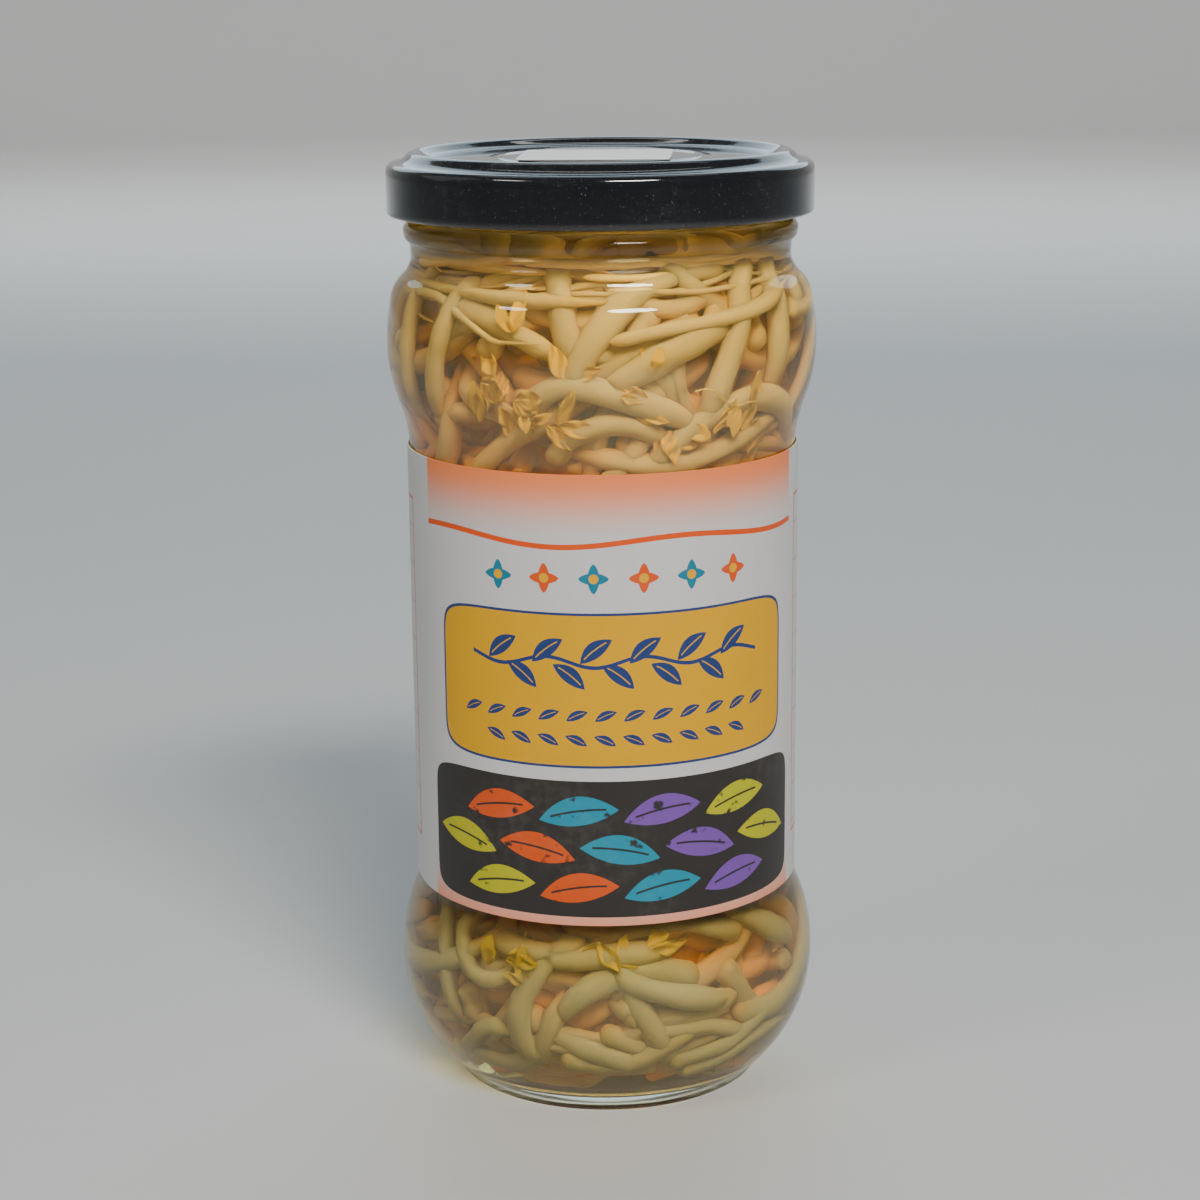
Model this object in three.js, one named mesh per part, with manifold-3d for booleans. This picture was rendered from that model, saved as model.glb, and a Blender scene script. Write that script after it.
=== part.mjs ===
// A closed glass jar of bean sprouts in brine: the blown glass jar with its threaded mouth, the lacquered
// steel twist-off cap with its sealing ring, the wrap-round paper label, a small sticker on the cap, the
// brine, and the sprouts packed against the glass. Millimetres, +Z up, the origin under the middle of the
// foot, and the front of the label towards -Y.
import * as THREE from "three";
import { mergeVertices } from "three/addons/utils/BufferGeometryUtils.js";
import Module from "manifold-3d";

const wasm = await Module();
wasm.setup();

// The jar's driving sizes
const FACETS = 32;
const FOOT_R = 23.3;
const FOOT_INNER_R = 21.3;
const PUSH_UP = 2.8;
const BULGE_R = 34;
const WAIST_R = 30.7;
const BEAD_R = 31.05;
const FINISH_R = 29.3;
const MOUTH_R = 27.3;
const HEEL_R = 24;
const LOWER_BULGE_Z = 19.9;
const LOWER_BULGE_TOP_Z = 20.5;
const WAIST_BOTTOM_Z = 36.2;
const WAIST_TOP_Z = 103.4;
const UPPER_BULGE_Z = 121.4;
const SHOULDER_Z = 128.4;
const BEAD_Z = 138.75;
const BEAD_SECTION_R = 1.9;
const RIM_Z = 148.75;
const GRID = 0.004;
const WALL = 2.2;
const HEEL_WALL = 2.4;
const FLOOR_Z = 5.6;

// The cap, its lugs and the thread that they hook under
const CAP_R = 33.5;
const CAP_SHEET = 0.4;
const CAP_BOTTOM_Z = 141.35;
const CAP_TOP_Z = 151;
const CAP_BEAD_R = 29.2;
const PANEL_Z = 149.8;
const BUTTON_R = 16;
const LUGS = 4;
const LUG_HALF_DEG = 7;
const LUG_TIP_R = 30.1;
const LUG_TOP_Z = 143.2;
const TURN_TO_OPEN_DEG = 66;
const RISE_TO_OPEN = 1.8;
const THREAD_R = 30.8;
const THREAD_START_DEG = -9;
const THREAD_END_DEG = 50;
const THREAD_HEIGHT = 1.4;
const THREAD_GAP = 0.45;

// The label, the sticker and the brine
const LABEL_BOTTOM_Z = 34.1;
const LABEL_TOP_Z = 105.2;
const LABEL_R = 31;
const PAPER = 0.2;
const LABEL_LAP_DEG = 12;
const STICKER = { width: 23.4, depth: 20.5, corner: 1, x: -0.6, y: -5.2, turnDeg: -3.5 };
const FIT_GAP = 0.25;
const BRINE_FILM = 0.5;
const BRINE_TOP_Z = 144;

// The sprouts. A band is a layer of the jar's height whose sprouts hold together as one tangle.
const SEED = 20260;
const STATIONS = 14;
const SPROUT_GAP = 1.2;
const CORE_DEPTH = 4.2;
const CORE_ROWS = 4;
const CORE_FACETS = 14;
const SPROUT_SIDES = 4;
const RELAX_STEPS = 96;
const LIST_EVERY = 8;
const LIST_REACH = 2.5;
const HOME_PULL = 0.2;
const BANDS = [
  { name: "sprouts_lower", low: 6, high: 48.2, outer: 30, inner: 56, flat: 0.62 },
  { name: "sprouts_middle", low: 48.8, high: 89.8, outer: 8, inner: 24, flat: 1 },
  { name: "sprouts_upper", low: 90.4, high: 142, outer: 34, inner: 60, flat: 0.8 },
];
// The sprouts that show most, which keep their places: degrees round from the front, height of the middle,
// heading there in degrees from level, length, bend in degrees, radius, and depth from the wall.
const PLACED = {
  sprouts_lower: [
    [-1, 27, 0, 34, 8, 2.1, 0.2],
    [-2, 24, 200, 30, 115, 1.9, 0.6],
    [-28, 18, -100, 30, 130, 1.9, 0.3],
    [-19, 15, 62, 20, 30, 1.8, 1.4],
    [-1, 12, -21, 26, 10, 2.1, 0.3],
    [15, 15, -60, 22, 15, 1.8, 0.8],
    [24, 21, -18, 24, 10, 2, 0.3],
    [-43, 22, -27, 26, 240, 1.4, 0.2],
    [-58, 22, -75, 28, 20, 1.6, 0.4],
    [61, 27, -33, 28, 10, 2, 0.3],
  ],
  sprouts_middle: [],
  sprouts_upper: [
    [13, 122, -150, 26, 45, 2.1, 0.3],
    [8, 122, -155, 22, 10, 1.9, 1.5],
    [0, 127, -136, 44, 105, 2.2, 0],
    [38, 120, -113, 36, 20, 2.1, 0.4],
    [-28, 126, -20, 28, -40, 1.7, 1],
    [-11, 126, -75, 20, 15, 2.1, 1.2],
    [62, 125, -100, 28, 10, 1.9, 0.5],
    [-71, 121, -95, 26, 15, 1.7, 0.5],
    [-55, 120, -108, 26, 20, 1.6, 0.5],
    [7, 113, -5, 26, -155, 1.8, 0.5],
    [7, 106, 78, 22, 15, 1.7, 1.5],
  ],
};

const finish = (color, roughness, metalness = 0, opacity = 1) =>
  new THREE.MeshStandardMaterial({ color, roughness, metalness, opacity, transparent: opacity < 1 });
const MATERIALS = {
  glass: finish("#cfe0d8", 0.05, 0, 0.3),
  cap: finish("#15171a", 0.22, 0.4),
  seal: finish("#d9d2c0", 0.6),
  paper: finish("#eae6dc", 0.55),
  sticker: finish("#f2f2ef", 0.6),
  brine: finish("#d8b878", 0.05, 0, 0.3),
  sprout: finish("#d9cba0", 0.45),
};

const degrees = THREE.MathUtils.degToRad;
const root = new THREE.Group();

// Adds a shape as the node of that name.
function addNode(name, geometry, material) {
  const mesh = new THREE.Mesh(geometry, material);
  mesh.name = name;
  root.add(mesh);
  return mesh;
}

// A three.js geometry as a solid that can be joined and cut. Its corners are rounded to a fine grid, so
// that no edge is shorter than the grid, and the triangles that this closes up are dropped.
function toSolid(geometry) {
  const corners = (geometry.index ? geometry.toNonIndexed() : geometry).getAttribute("position").array;
  const rounded = new Float32Array(corners.length);
  corners.forEach((value, i) => {
    rounded[i] = Math.round(value / GRID) * GRID;
  });
  const bare = new THREE.BufferGeometry().setAttribute("position", new THREE.BufferAttribute(rounded, 3));
  const merged = mergeVertices(bare, GRID / 4);
  const triangles = [];
  for (let i = 0; i < merged.index.count; i += 3) {
    const [a, b, c] = [0, 1, 2].map((k) => merged.index.getX(i + k));
    if (a !== b && b !== c && c !== a) triangles.push(a, b, c);
  }
  return new wasm.Manifold(
    new wasm.Mesh({
      numProp: 3,
      vertProperties: merged.attributes.position.array,
      triVerts: new Uint32Array(triangles),
    }),
  );
}

// A solid back as a three.js geometry.
function toGeometry(solid) {
  const mesh = solid.getMesh();
  return new THREE.BufferGeometry()
    .setAttribute("position", new THREE.BufferAttribute(new Float32Array(mesh.vertProperties), 3))
    .setIndex(new THREE.BufferAttribute(new Uint32Array(mesh.triVerts), 1));
}

// Points along an arc in the plane of radius and height, from one angle to another in degrees.
function arc(r, z, radius, from, to, steps) {
  return Array.from({ length: steps + 1 }, (_, i) => {
    const a = degrees(from + ((to - from) * i) / steps);
    return [r + radius * Math.cos(a), z + radius * Math.sin(a)];
  });
}

// An outline of [radius, height] turned about Z. It runs anticlockwise as seen with radius to the right.
function turned(outline, facets = FACETS) {
  const points = outline.map(([r, z]) => new THREE.Vector2(Math.max(r, 0), z));
  return new THREE.LatheGeometry(points, facets).rotateX(Math.PI / 2);
}

// A box bent round Z: its length runs from one angle to another, and its radii and heights may change
// with the share of the way along.
function bentBox(fromDeg, toDeg, inner, outer, low, high, steps) {
  const geometry = new THREE.BoxGeometry(1, 1, 1, steps, 1, 1);
  const at = geometry.getAttribute("position");
  for (let i = 0; i < at.count; i += 1) {
    const share = at.getX(i) + 0.5;
    const angle = degrees(fromDeg + (toDeg - fromDeg) * share);
    const r = at.getY(i) < 0 ? outer(share) : inner(share);
    const z = at.getZ(i) < 0 ? low(share) : high(share);
    at.setXYZ(i, r * Math.cos(angle), r * Math.sin(angle), z);
  }
  return geometry;
}

// An S of two arcs, both ends upright: it leaves one radius and height on the first arc and reaches the
// other on the second, whose radii stand in the given share.
function sCurve(r0, z0, r1, z1, firstShare, steps) {
  const swing = 2 * Math.atan2(Math.abs(r1 - r0), z1 - z0);
  const sum = (z1 - z0) / Math.sin(swing);
  const way = Math.sign(r1 - r0);
  const first = sum * firstShare;
  const second = sum - first;
  const points = [];
  for (let i = 1; i <= steps; i += 1) {
    const a = (swing * i) / steps;
    points.push([r0 + way * first * (1 - Math.cos(a)), z0 + first * Math.sin(a)]);
  }
  for (let i = steps - 1; i >= 0; i -= 1) {
    const a = (swing * i) / steps;
    points.push([r1 - way * second * (1 - Math.cos(a)), z1 - second * Math.sin(a)]);
  }
  return points;
}

// The jar's outside from the edge of the foot up to the finish under the cap.
const HEEL_CENTRE = BULGE_R - HEEL_R;
const FOOT_CORNER = 3;
const FOOT_DEG = -(Math.asin((LOWER_BULGE_Z - FOOT_CORNER) / (HEEL_R - FOOT_CORNER)) * 180) / Math.PI;
const SHOULDER_CURVE = 38;
const SHOULDER_CORNER = 6;
const NECK_FILLET = 4.6;
const SHOULDER_DEG = 48;
const SHOULDER_TILT_DEG = (Math.asin((SHOULDER_Z - UPPER_BULGE_Z) / SHOULDER_CURVE) * 180) / Math.PI;

function shoulderToNeck() {
  const tilt = degrees(SHOULDER_TILT_DEG);
  const steep = degrees(SHOULDER_DEG);
  const cornerR = BULGE_R - SHOULDER_CURVE * (1 - Math.cos(tilt)) - SHOULDER_CORNER * Math.cos(tilt);
  const cornerZ = SHOULDER_Z - SHOULDER_CORNER * Math.sin(tilt);
  const endR = cornerR + SHOULDER_CORNER * Math.cos(steep);
  const endZ = cornerZ + SHOULDER_CORNER * Math.sin(steep);
  const filletR = endR + NECK_FILLET * Math.cos(steep);
  const filletZ = endZ + NECK_FILLET * Math.sin(steep);
  return [
    ...arc(BULGE_R - SHOULDER_CURVE, UPPER_BULGE_Z, SHOULDER_CURVE, 0, SHOULDER_TILT_DEG, 1).slice(1),
    ...arc(cornerR, cornerZ, SHOULDER_CORNER, SHOULDER_TILT_DEG, SHOULDER_DEG, 2).slice(1),
    ...arc(filletR, filletZ, NECK_FILLET, 180 + SHOULDER_DEG, 180, 2).slice(1),
  ];
}

const OUTSIDE = [
  ...arc(FOOT_R, FOOT_CORNER, FOOT_CORNER, -90, FOOT_DEG, 1),
  ...arc(HEEL_CENTRE, LOWER_BULGE_Z, HEEL_R, FOOT_DEG, 0, 4).slice(1),
  [BULGE_R, LOWER_BULGE_TOP_Z],
  ...sCurve(BULGE_R, LOWER_BULGE_TOP_Z, WAIST_R, WAIST_BOTTOM_Z, 0.69, 2),
  [WAIST_R, WAIST_TOP_Z],
  ...sCurve(WAIST_R, WAIST_TOP_Z, BULGE_R, UPPER_BULGE_Z, 0.49, 2),
  ...shoulderToNeck(),
  ...arc(BEAD_R - BEAD_SECTION_R, BEAD_Z, BEAD_SECTION_R, -62, 70, 3),
  [FINISH_R, BEAD_Z + BEAD_SECTION_R],
  [FINISH_R, RIM_Z - 0.7],
  [FINISH_R - 0.6, RIM_Z],
  [MOUTH_R + 0.6, RIM_Z],
  [MOUTH_R, RIM_Z - 0.7],
];

// The cavity from the mouth down to the middle of the floor.
const CAVITY_HEEL_R = HEEL_R - HEEL_WALL;
const CAVITY_CORNER = 4;
const CAVITY_DEG = -40;
const CAVITY = [
  [MOUTH_R, 135.5],
  [BULGE_R - WALL - 1.8, SHOULDER_Z + 1.3],
  [BULGE_R - WALL - 0.25, SHOULDER_Z - 4],
  ...sCurve(WAIST_R - WALL, WAIST_TOP_Z, BULGE_R - WALL, UPPER_BULGE_Z, 0.49, 1).reverse(),
  [WAIST_R - WALL, WAIST_TOP_Z],
  ...sCurve(BULGE_R - HEEL_WALL, LOWER_BULGE_TOP_Z, WAIST_R - WALL, WAIST_BOTTOM_Z, 0.69, 1).reverse(),
  [BULGE_R - HEEL_WALL, LOWER_BULGE_TOP_Z],
  ...arc(HEEL_CENTRE, LOWER_BULGE_Z, CAVITY_HEEL_R, 0, CAVITY_DEG, 3),
  ...arc(
    HEEL_CENTRE + (CAVITY_HEEL_R - CAVITY_CORNER) * Math.cos(degrees(CAVITY_DEG)),
    LOWER_BULGE_Z + (CAVITY_HEEL_R - CAVITY_CORNER) * Math.sin(degrees(CAVITY_DEG)),
    CAVITY_CORNER,
    CAVITY_DEG,
    -86,
    2,
  ).slice(1),
  [12, FLOOR_Z - 0.35],
  [0, FLOOR_Z],
];
const FLOOR_EDGE_Z = Math.min(...CAVITY.map(([, z]) => z));

const CAVITY_WALL = CAVITY.filter(([r]) => r > 20);

// The radius of the cavity at a height, read between the points of its outline.
function cavityRadius(z) {
  if (z >= CAVITY_WALL[0][1]) return CAVITY_WALL[0][0];
  for (let i = 1; i < CAVITY_WALL.length; i += 1) {
    const [r0, z0] = CAVITY_WALL[i - 1];
    const [r1, z1] = CAVITY_WALL[i];
    if (z >= z1) return z0 === z1 ? r1 : r1 + ((r0 - r1) * (z - z1)) / (z0 - z1);
  }
  return CAVITY_WALL[CAVITY_WALL.length - 1][0];
}

// How far from the axis a ball may be centred at a height, with that much room about it.
function reachAt(z, room) {
  const tilts = [-75, -50, -25, 0, 25].map(degrees);
  return Math.min(...tilts.map((a) => cavityRadius(z + room * Math.sin(a)) - room * Math.cos(a)));
}

function glassJar() {
  const outline = [[0, PUSH_UP], [12, PUSH_UP - 0.9], [FOOT_INNER_R - 1, 0.8], [FOOT_INNER_R, 0], ...OUTSIDE, ...CAVITY];
  let glass = toSolid(turned(outline));
  // Each thread starts just before a closed lug and climbs at the pitch that the cap rises by.
  const pitch = RISE_TO_OPEN / TURN_TO_OPEN_DEG;
  for (let i = 0; i < LUGS; i += 1) {
    const lug = (360 / LUGS) * (i + 0.5);
    const underside = (share) =>
      LUG_TOP_Z + THREAD_GAP + pitch * (THREAD_START_DEG + (THREAD_END_DEG - THREAD_START_DEG) * share);
    const ridge = bentBox(
      lug + THREAD_START_DEG,
      lug + THREAD_END_DEG,
      () => FINISH_R - 0.8,
      (share) => THREAD_R - 0.7 * Math.max(0, share - 0.85) * 6,
      underside,
      (share) => underside(share) + THREAD_HEIGHT,
      6,
    );
    glass = glass.add(toSolid(ridge));
  }
  return toGeometry(toSolid(toGeometry(glass)));
}

// The cap's sheet: the outside from the middle of the button to the curl, and the inside back again.
function twistCap() {
  const inside = CAP_R - CAP_SHEET;
  const outside = [
    [BUTTON_R + 0.8, PANEL_Z + 0.05],
    [BUTTON_R, PANEL_Z + 0.3],
    [BUTTON_R - 0.8, PANEL_Z + 0.05],
    [0, PANEL_Z - 0.15],
  ];
  const outline = [
    [0, PANEL_Z - 0.15 - CAP_SHEET],
    [BUTTON_R - 0.8, PANEL_Z + 0.05 - CAP_SHEET],
    [BUTTON_R, PANEL_Z + 0.3 - CAP_SHEET],
    [BUTTON_R + 0.8, PANEL_Z + 0.05 - CAP_SHEET],
    [26.4, PANEL_Z - CAP_SHEET],
    [27.7, PANEL_Z - 0.15],
    [28.6, CAP_TOP_Z - 0.6],
    [CAP_BEAD_R, CAP_TOP_Z - CAP_SHEET],
    [29.8, CAP_TOP_Z - 0.65],
    [30.6, CAP_TOP_Z - 1.5],
    [31.7, CAP_TOP_Z - 1.92],
    [inside - 0.35, CAP_TOP_Z - 2.4],
    [inside, CAP_TOP_Z - 3.05],
    [inside, CAP_BOTTOM_Z + 1.5],
    [CAP_R - 1.35, CAP_BOTTOM_Z + 1.2],
    [CAP_R - 1.5, CAP_BOTTOM_Z + 0.6],
    [CAP_R - 1.15, CAP_BOTTOM_Z + 0.1],
    [CAP_R - 0.65, CAP_BOTTOM_Z],
    [CAP_R - 0.15, CAP_BOTTOM_Z + 0.25],
    [CAP_R, CAP_BOTTOM_Z + 0.9],
    [CAP_R, CAP_TOP_Z - 2.9],
    [CAP_R - 0.35, CAP_TOP_Z - 2],
    [31.9, CAP_TOP_Z - 1.5],
    [30.9, CAP_TOP_Z - 1.1],
    [30, CAP_TOP_Z - 0.25],
    [CAP_BEAD_R, CAP_TOP_Z],
    [28.4, CAP_TOP_Z - 0.2],
    [27.4, PANEL_Z + 0.25],
    [26.2, PANEL_Z],
    ...outside,
  ];
  let cap = toSolid(turned(outline));
  for (let i = 0; i < LUGS; i += 1) {
    const middle = (360 / LUGS) * (i + 0.5);
    const lug = bentBox(
      middle - LUG_HALF_DEG,
      middle + LUG_HALF_DEG,
      () => LUG_TIP_R,
      () => CAP_R - 0.2,
      () => CAP_BOTTOM_Z + 0.7,
      () => LUG_TOP_Z,
      2,
    );
    cap = cap.add(toSolid(lug));
  }
  return toGeometry(toSolid(toGeometry(cap)));
}

// The sealing compound that fills the channel under the cap's raised bead and meets the rim.
function sealRing() {
  const bottom = RIM_Z + FIT_GAP;
  const outline = [
    [27.6, bottom],
    [30.2, bottom],
    [30.1, bottom + 0.45],
    [29.6, bottom + 1.05],
    [28.8, bottom + 1.05],
    [27.95, bottom + 0.45],
    [27.6, bottom],
  ];
  return turned(outline);
}

// The paper goes once round from the back and laps over its own start.
function wrapLabel() {
  const turn = 360 + LABEL_LAP_DEG;
  const lift = (share) => (PAPER + FIT_GAP) * THREE.MathUtils.smoothstep(share * turn, 340, 356);
  return bentBox(
    90,
    90 + turn,
    (share) => LABEL_R + lift(share),
    (share) => LABEL_R + PAPER + lift(share),
    () => LABEL_BOTTOM_Z,
    () => LABEL_TOP_Z,
    Math.round((FACETS * turn) / 360),
  );
}

function capSticker() {
  const { width, depth, corner } = STICKER;
  const shape = new THREE.Shape();
  const x = width / 2 - corner;
  const y = depth / 2 - corner;
  shape.absarc(x, y, corner, 0, Math.PI / 2);
  shape.absarc(-x, y, corner, Math.PI / 2, Math.PI);
  shape.absarc(-x, -y, corner, Math.PI, 1.5 * Math.PI);
  shape.absarc(x, -y, corner, 1.5 * Math.PI, 2 * Math.PI);
  return new THREE.ExtrudeGeometry(shape, { depth: 0.2, bevelEnabled: false, curveSegments: 2 });
}

// The brine: what lies between the glass and the sprouts, with one plain hole in which they stand.
function brine() {
  const outer = FIT_GAP;
  const inner = FIT_GAP + BRINE_FILM;
  const wall = CAVITY.filter(([r]) => r > 24);
  const heights = wall.map(([, z]) => z).filter((z) => z > 8);
  const outside = [
    [0, FLOOR_Z + outer],
    [12, FLOOR_Z - 0.35 + outer],
    [23.2, FLOOR_EDGE_Z + outer + 0.1],
    [25.4, 6.1],
    ...heights.map((z) => [cavityRadius(z) - outer, z]).reverse(),
    [MOUTH_R - outer, BRINE_TOP_Z],
  ];
  const inside = [
    [MOUTH_R - inner, BRINE_TOP_Z],
    ...heights.map((z) => [cavityRadius(z) - inner, z]),
    [24.9, 6.5],
    [23, FLOOR_EDGE_Z + inner + 0.15],
    [12, FLOOR_Z - 0.35 + inner],
    [0, FLOOR_Z + inner],
  ];
  return turned([...outside, ...inside]);
}

// Seeded draws between 0 and 1.
function drawer(seed) {
  let state = seed;
  return () => {
    state = (Math.imul(state, 1664525) + 1013904223) >>> 0;
    return state / 4294967296;
  };
}

// How thick a sprout is along its length: two seed leaves at the head, a narrow collar, the plump stem,
// and the root that tapers to a thread. Shares of the length, and shares of the stem's radius.
const SPROUT_SHAPE = [
  [0, 0],
  [0.06, 1.05],
  [0.22, 0.95],
  [0.4, 1],
  [0.58, 1],
  [0.76, 0.8],
  [0.9, 0.4],
  [1, 0],
];

function shapeAt(share) {
  for (let i = 1; i < SPROUT_SHAPE.length; i += 1) {
    const [s0, r0] = SPROUT_SHAPE[i - 1];
    const [s1, r1] = SPROUT_SHAPE[i];
    if (share <= s1) return r0 + ((r1 - r0) * (share - s0)) / (s1 - s0);
  }
  return 0;
}

// A sprout on the inside of the wall: it leaves its middle both ways and bends in an arc, with a hook that
// grows towards its ends.
function laidSprout(band, { outer, held, around, height, heading, length, bend, hook, radius, depth }) {
  const wall = reachAt(height, SPROUT_GAP + radius) - depth;
  const step = length / (STATIONS - 1);
  const middle = Math.floor(STATIONS / 2);
  const way = (k) => {
    const t = (k + 0.5) / (STATIONS - 1) - 0.5;
    return heading + bend * t + hook * t * t * t * 4;
  };
  const flat = Array.from({ length: STATIONS }, () => [0, 0]);
  for (let k = middle; k < STATIONS - 1; k += 1) {
    flat[k + 1] = [flat[k][0] + step * Math.cos(way(k)), flat[k][1] + step * Math.sin(way(k))];
  }
  for (let k = middle - 1; k >= 0; k -= 1) {
    flat[k] = [flat[k + 1][0] - step * Math.cos(way(k)), flat[k + 1][1] - step * Math.sin(way(k))];
  }
  const points = flat.map(([along, up]) => {
    const angle = around + along / wall;
    const z = height + up;
    const r = Math.max(4, Math.min(wall, reachAt(z, SPROUT_GAP + radius) - depth));
    return [r * Math.cos(angle), r * Math.sin(angle), z];
  });
  const radii = points.map((_, k) => Math.max(0.3, radius * shapeAt(k / (STATIONS - 1))));
  return { band, outer, held, radius, step, points, radii };
}

// Every sprout of every band: those that keep their places, and then the others as they are dropped in,
// spread evenly by the golden section.
function droppedSprouts() {
  const draw = drawer(SEED);
  const golden = 0.6180339887498949;
  const sprouts = [];
  for (const band of BANDS) {
    for (const [turn, height, heading, length, bend, radius, depth] of PLACED[band.name]) {
      const place = { outer: true, held: true, around: degrees(turn - 90), heading: degrees(heading) };
      sprouts.push(laidSprout(band, { ...place, height, length, bend: degrees(bend), hook: 0, radius, depth }));
    }
    for (let i = 0; i < band.outer + band.inner; i += 1) {
      const outer = i < band.outer;
      const order = outer ? i : i - band.outer;
      const count = outer ? band.outer : band.inner;
      const length = 30 + 18 * draw();
      const radius = 1.5 + 0.6 * draw();
      const depth = outer ? 3 * draw() : 3.5 + 5 * draw();
      const heading = (draw() - 0.5) * Math.PI * band.flat + (draw() < 0.5 ? Math.PI : 0);
      const bend = (draw() < 0.5 ? -1 : 1) * (0.4 + 2.2 * draw());
      const hook = (draw() - 0.5) * 2.4;
      const around = 2 * Math.PI * ((order * golden + draw() * 0.05) % 1);
      const height = band.low + 3 + (band.high - band.low - 6) * ((order + 0.5) / count);
      const place = { outer, held: false, around, height, heading };
      sprouts.push(laidSprout(band, { ...place, length, bend, hook, radius, depth }));
    }
  }
  return sprouts;
}

// Settles the sprouts: they push each other apart, keep their length and their bend, and stay inside the
// glass and their band. The held ones are drawn back to where they started.
function settle(sprouts) {
  const total = sprouts.length * STATIONS;
  const at = sprouts.flatMap((s) => s.points);
  const radius = sprouts.flatMap((s) => s.radii);
  const home = at.map((p) => [...p]);
  const bends = at.map((p, i) => {
    const k = i % STATIONS;
    if (k === 0 || k === STATIONS - 1) return [0, 0, 0];
    return [0, 1, 2].map((c) => p[c] - (at[i - 1][c] + at[i + 1][c]) / 2);
  });
  let pairs = [];
  for (let round = 0; round < RELAX_STEPS; round += 1) {
    if (round % LIST_EVERY === 0) {
      pairs = [];
      for (let a = 0; a < total; a += 1) {
        const next = (Math.floor(a / STATIONS) + 1) * STATIONS;
        for (let b = next; b < total; b += 1) {
          const reach = radius[a] + radius[b] + LIST_REACH;
          const dx = at[b][0] - at[a][0];
          const dy = at[b][1] - at[a][1];
          const dz = at[b][2] - at[a][2];
          if (dx * dx + dy * dy + dz * dz < reach * reach) pairs.push([a, b]);
        }
      }
    }
    const push = at.map(() => [0, 0, 0]);
    const hits = new Array(total).fill(0);
    for (const [a, b] of pairs) {
      const d = [0, 1, 2].map((c) => at[b][c] - at[a][c]);
      const apart = Math.sqrt(d[0] * d[0] + d[1] * d[1] + d[2] * d[2]) + 1e-9;
      const over = radius[a] + radius[b] - apart;
      if (over <= 0) continue;
      for (let c = 0; c < 3; c += 1) {
        const share = (d[c] / apart) * over * 0.5;
        push[a][c] -= share;
        push[b][c] += share;
      }
      hits[a] += 1;
      hits[b] += 1;
    }
    at.forEach((p, i) => {
      const n = Math.max(1, hits[i]);
      for (let c = 0; c < 3; c += 1) p[c] += (push[i][c] / n) * 1.2;
    });
    const before = at.map((p) => [...p]);
    sprouts.forEach((sprout, s) => {
      for (let k = 0; k < STATIONS; k += 1) {
        const i = s * STATIONS + k;
        const moved = [0, 0, 0];
        for (const j of [i - 1, i + 1]) {
          if (j < s * STATIONS || j >= (s + 1) * STATIONS) continue;
          const d = [0, 1, 2].map((c) => before[j][c] - before[i][c]);
          const long = Math.sqrt(d[0] * d[0] + d[1] * d[1] + d[2] * d[2]) + 1e-9;
          for (let c = 0; c < 3; c += 1) moved[c] += (d[c] / long) * (long - sprout.step) * 0.4;
        }
        if (k > 0 && k < STATIONS - 1) {
          for (let c = 0; c < 3; c += 1) {
            const rest = (before[i - 1][c] + before[i + 1][c]) / 2 + bends[i][c];
            moved[c] += (rest - before[i][c]) * 0.3;
          }
        }
        const pull = sprout.held ? HOME_PULL : 0;
        for (let c = 0; c < 3; c += 1) at[i][c] += moved[c] + (home[i][c] - before[i][c]) * pull;
        const { low, high } = sprout.band;
        at[i][2] = Math.min(high - radius[i], Math.max(low + 0.7 + radius[i], at[i][2]));
        const limit = reachAt(at[i][2], SPROUT_GAP + radius[i]);
        const out = Math.sqrt(at[i][0] * at[i][0] + at[i][1] * at[i][1]);
        if (out > limit) {
          at[i][0] *= limit / out;
          at[i][1] *= limit / out;
        }
      }
    });
  }
  sprouts.forEach((sprout, s) => {
    sprout.points = at.slice(s * STATIONS, (s + 1) * STATIONS);
  });
  return sprouts;
}

// One sprout as a turned spindle bent along its route.
function sproutSolid({ points, radius }) {
  const route = new THREE.CatmullRomCurve3(points.map((p) => new THREE.Vector3(...p)));
  const outline = SPROUT_SHAPE.map(([share, r]) => new THREE.Vector2(r * radius * 1.04, share));
  const spindle = new THREE.LatheGeometry(outline, SPROUT_SIDES);
  const frames = route.computeFrenetFrames(100, false);
  const at = spindle.getAttribute("position");
  for (let i = 0; i < at.count; i += 1) {
    const share = at.getY(i);
    const n = Math.round(share * 100);
    const p = route
      .getPointAt(share)
      .addScaledVector(frames.normals[n], at.getX(i))
      .addScaledVector(frames.binormals[n], -at.getZ(i));
    at.setXYZ(i, p.x, p.y, p.z);
  }
  return toSolid(spindle);
}

// The sprouts deeper in than those that show, as one round body that the others stand out of.
function bandCore({ low, high }) {
  const bottom = Math.max(low, 7.6);
  const top = high - 0.4;
  const heights = Array.from({ length: CORE_ROWS + 1 }, (_, i) => bottom + ((top - bottom) * i) / CORE_ROWS);
  const outline = heights.map((z) => [cavityRadius(z) - SPROUT_GAP - CORE_DEPTH, z]);
  return toSolid(turned([[0, bottom], ...outline, [0, top]], CORE_FACETS));
}

const settled = settle(droppedSprouts());

function tangle(band) {
  const solids = settled.filter((s) => s.band === band && s.outer).map(sproutSolid);
  const joined = wasm.Manifold.union([bandCore(band), ...solids]);
  const bodies = joined.decompose().sort((a, b) => b.volume() - a.volume());
  return toGeometry(toSolid(toGeometry(bodies[0])));
}

addNode("jar_glass", glassJar(), MATERIALS.glass);
addNode("lid", twistCap(), MATERIALS.cap);
addNode("lid_seal", sealRing(), MATERIALS.seal);
addNode("label", wrapLabel(), MATERIALS.paper);
const sticker = addNode("lid_sticker", capSticker(), MATERIALS.sticker);
sticker.position.set(STICKER.x, STICKER.y, PANEL_Z + 0.3 + FIT_GAP);
sticker.rotation.z = degrees(STICKER.turnDeg);
addNode("brine", brine(), MATERIALS.brine);
for (const band of BANDS) {
  addNode(band.name, tangle(band), MATERIALS.sprout);
}

export default root;
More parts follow.
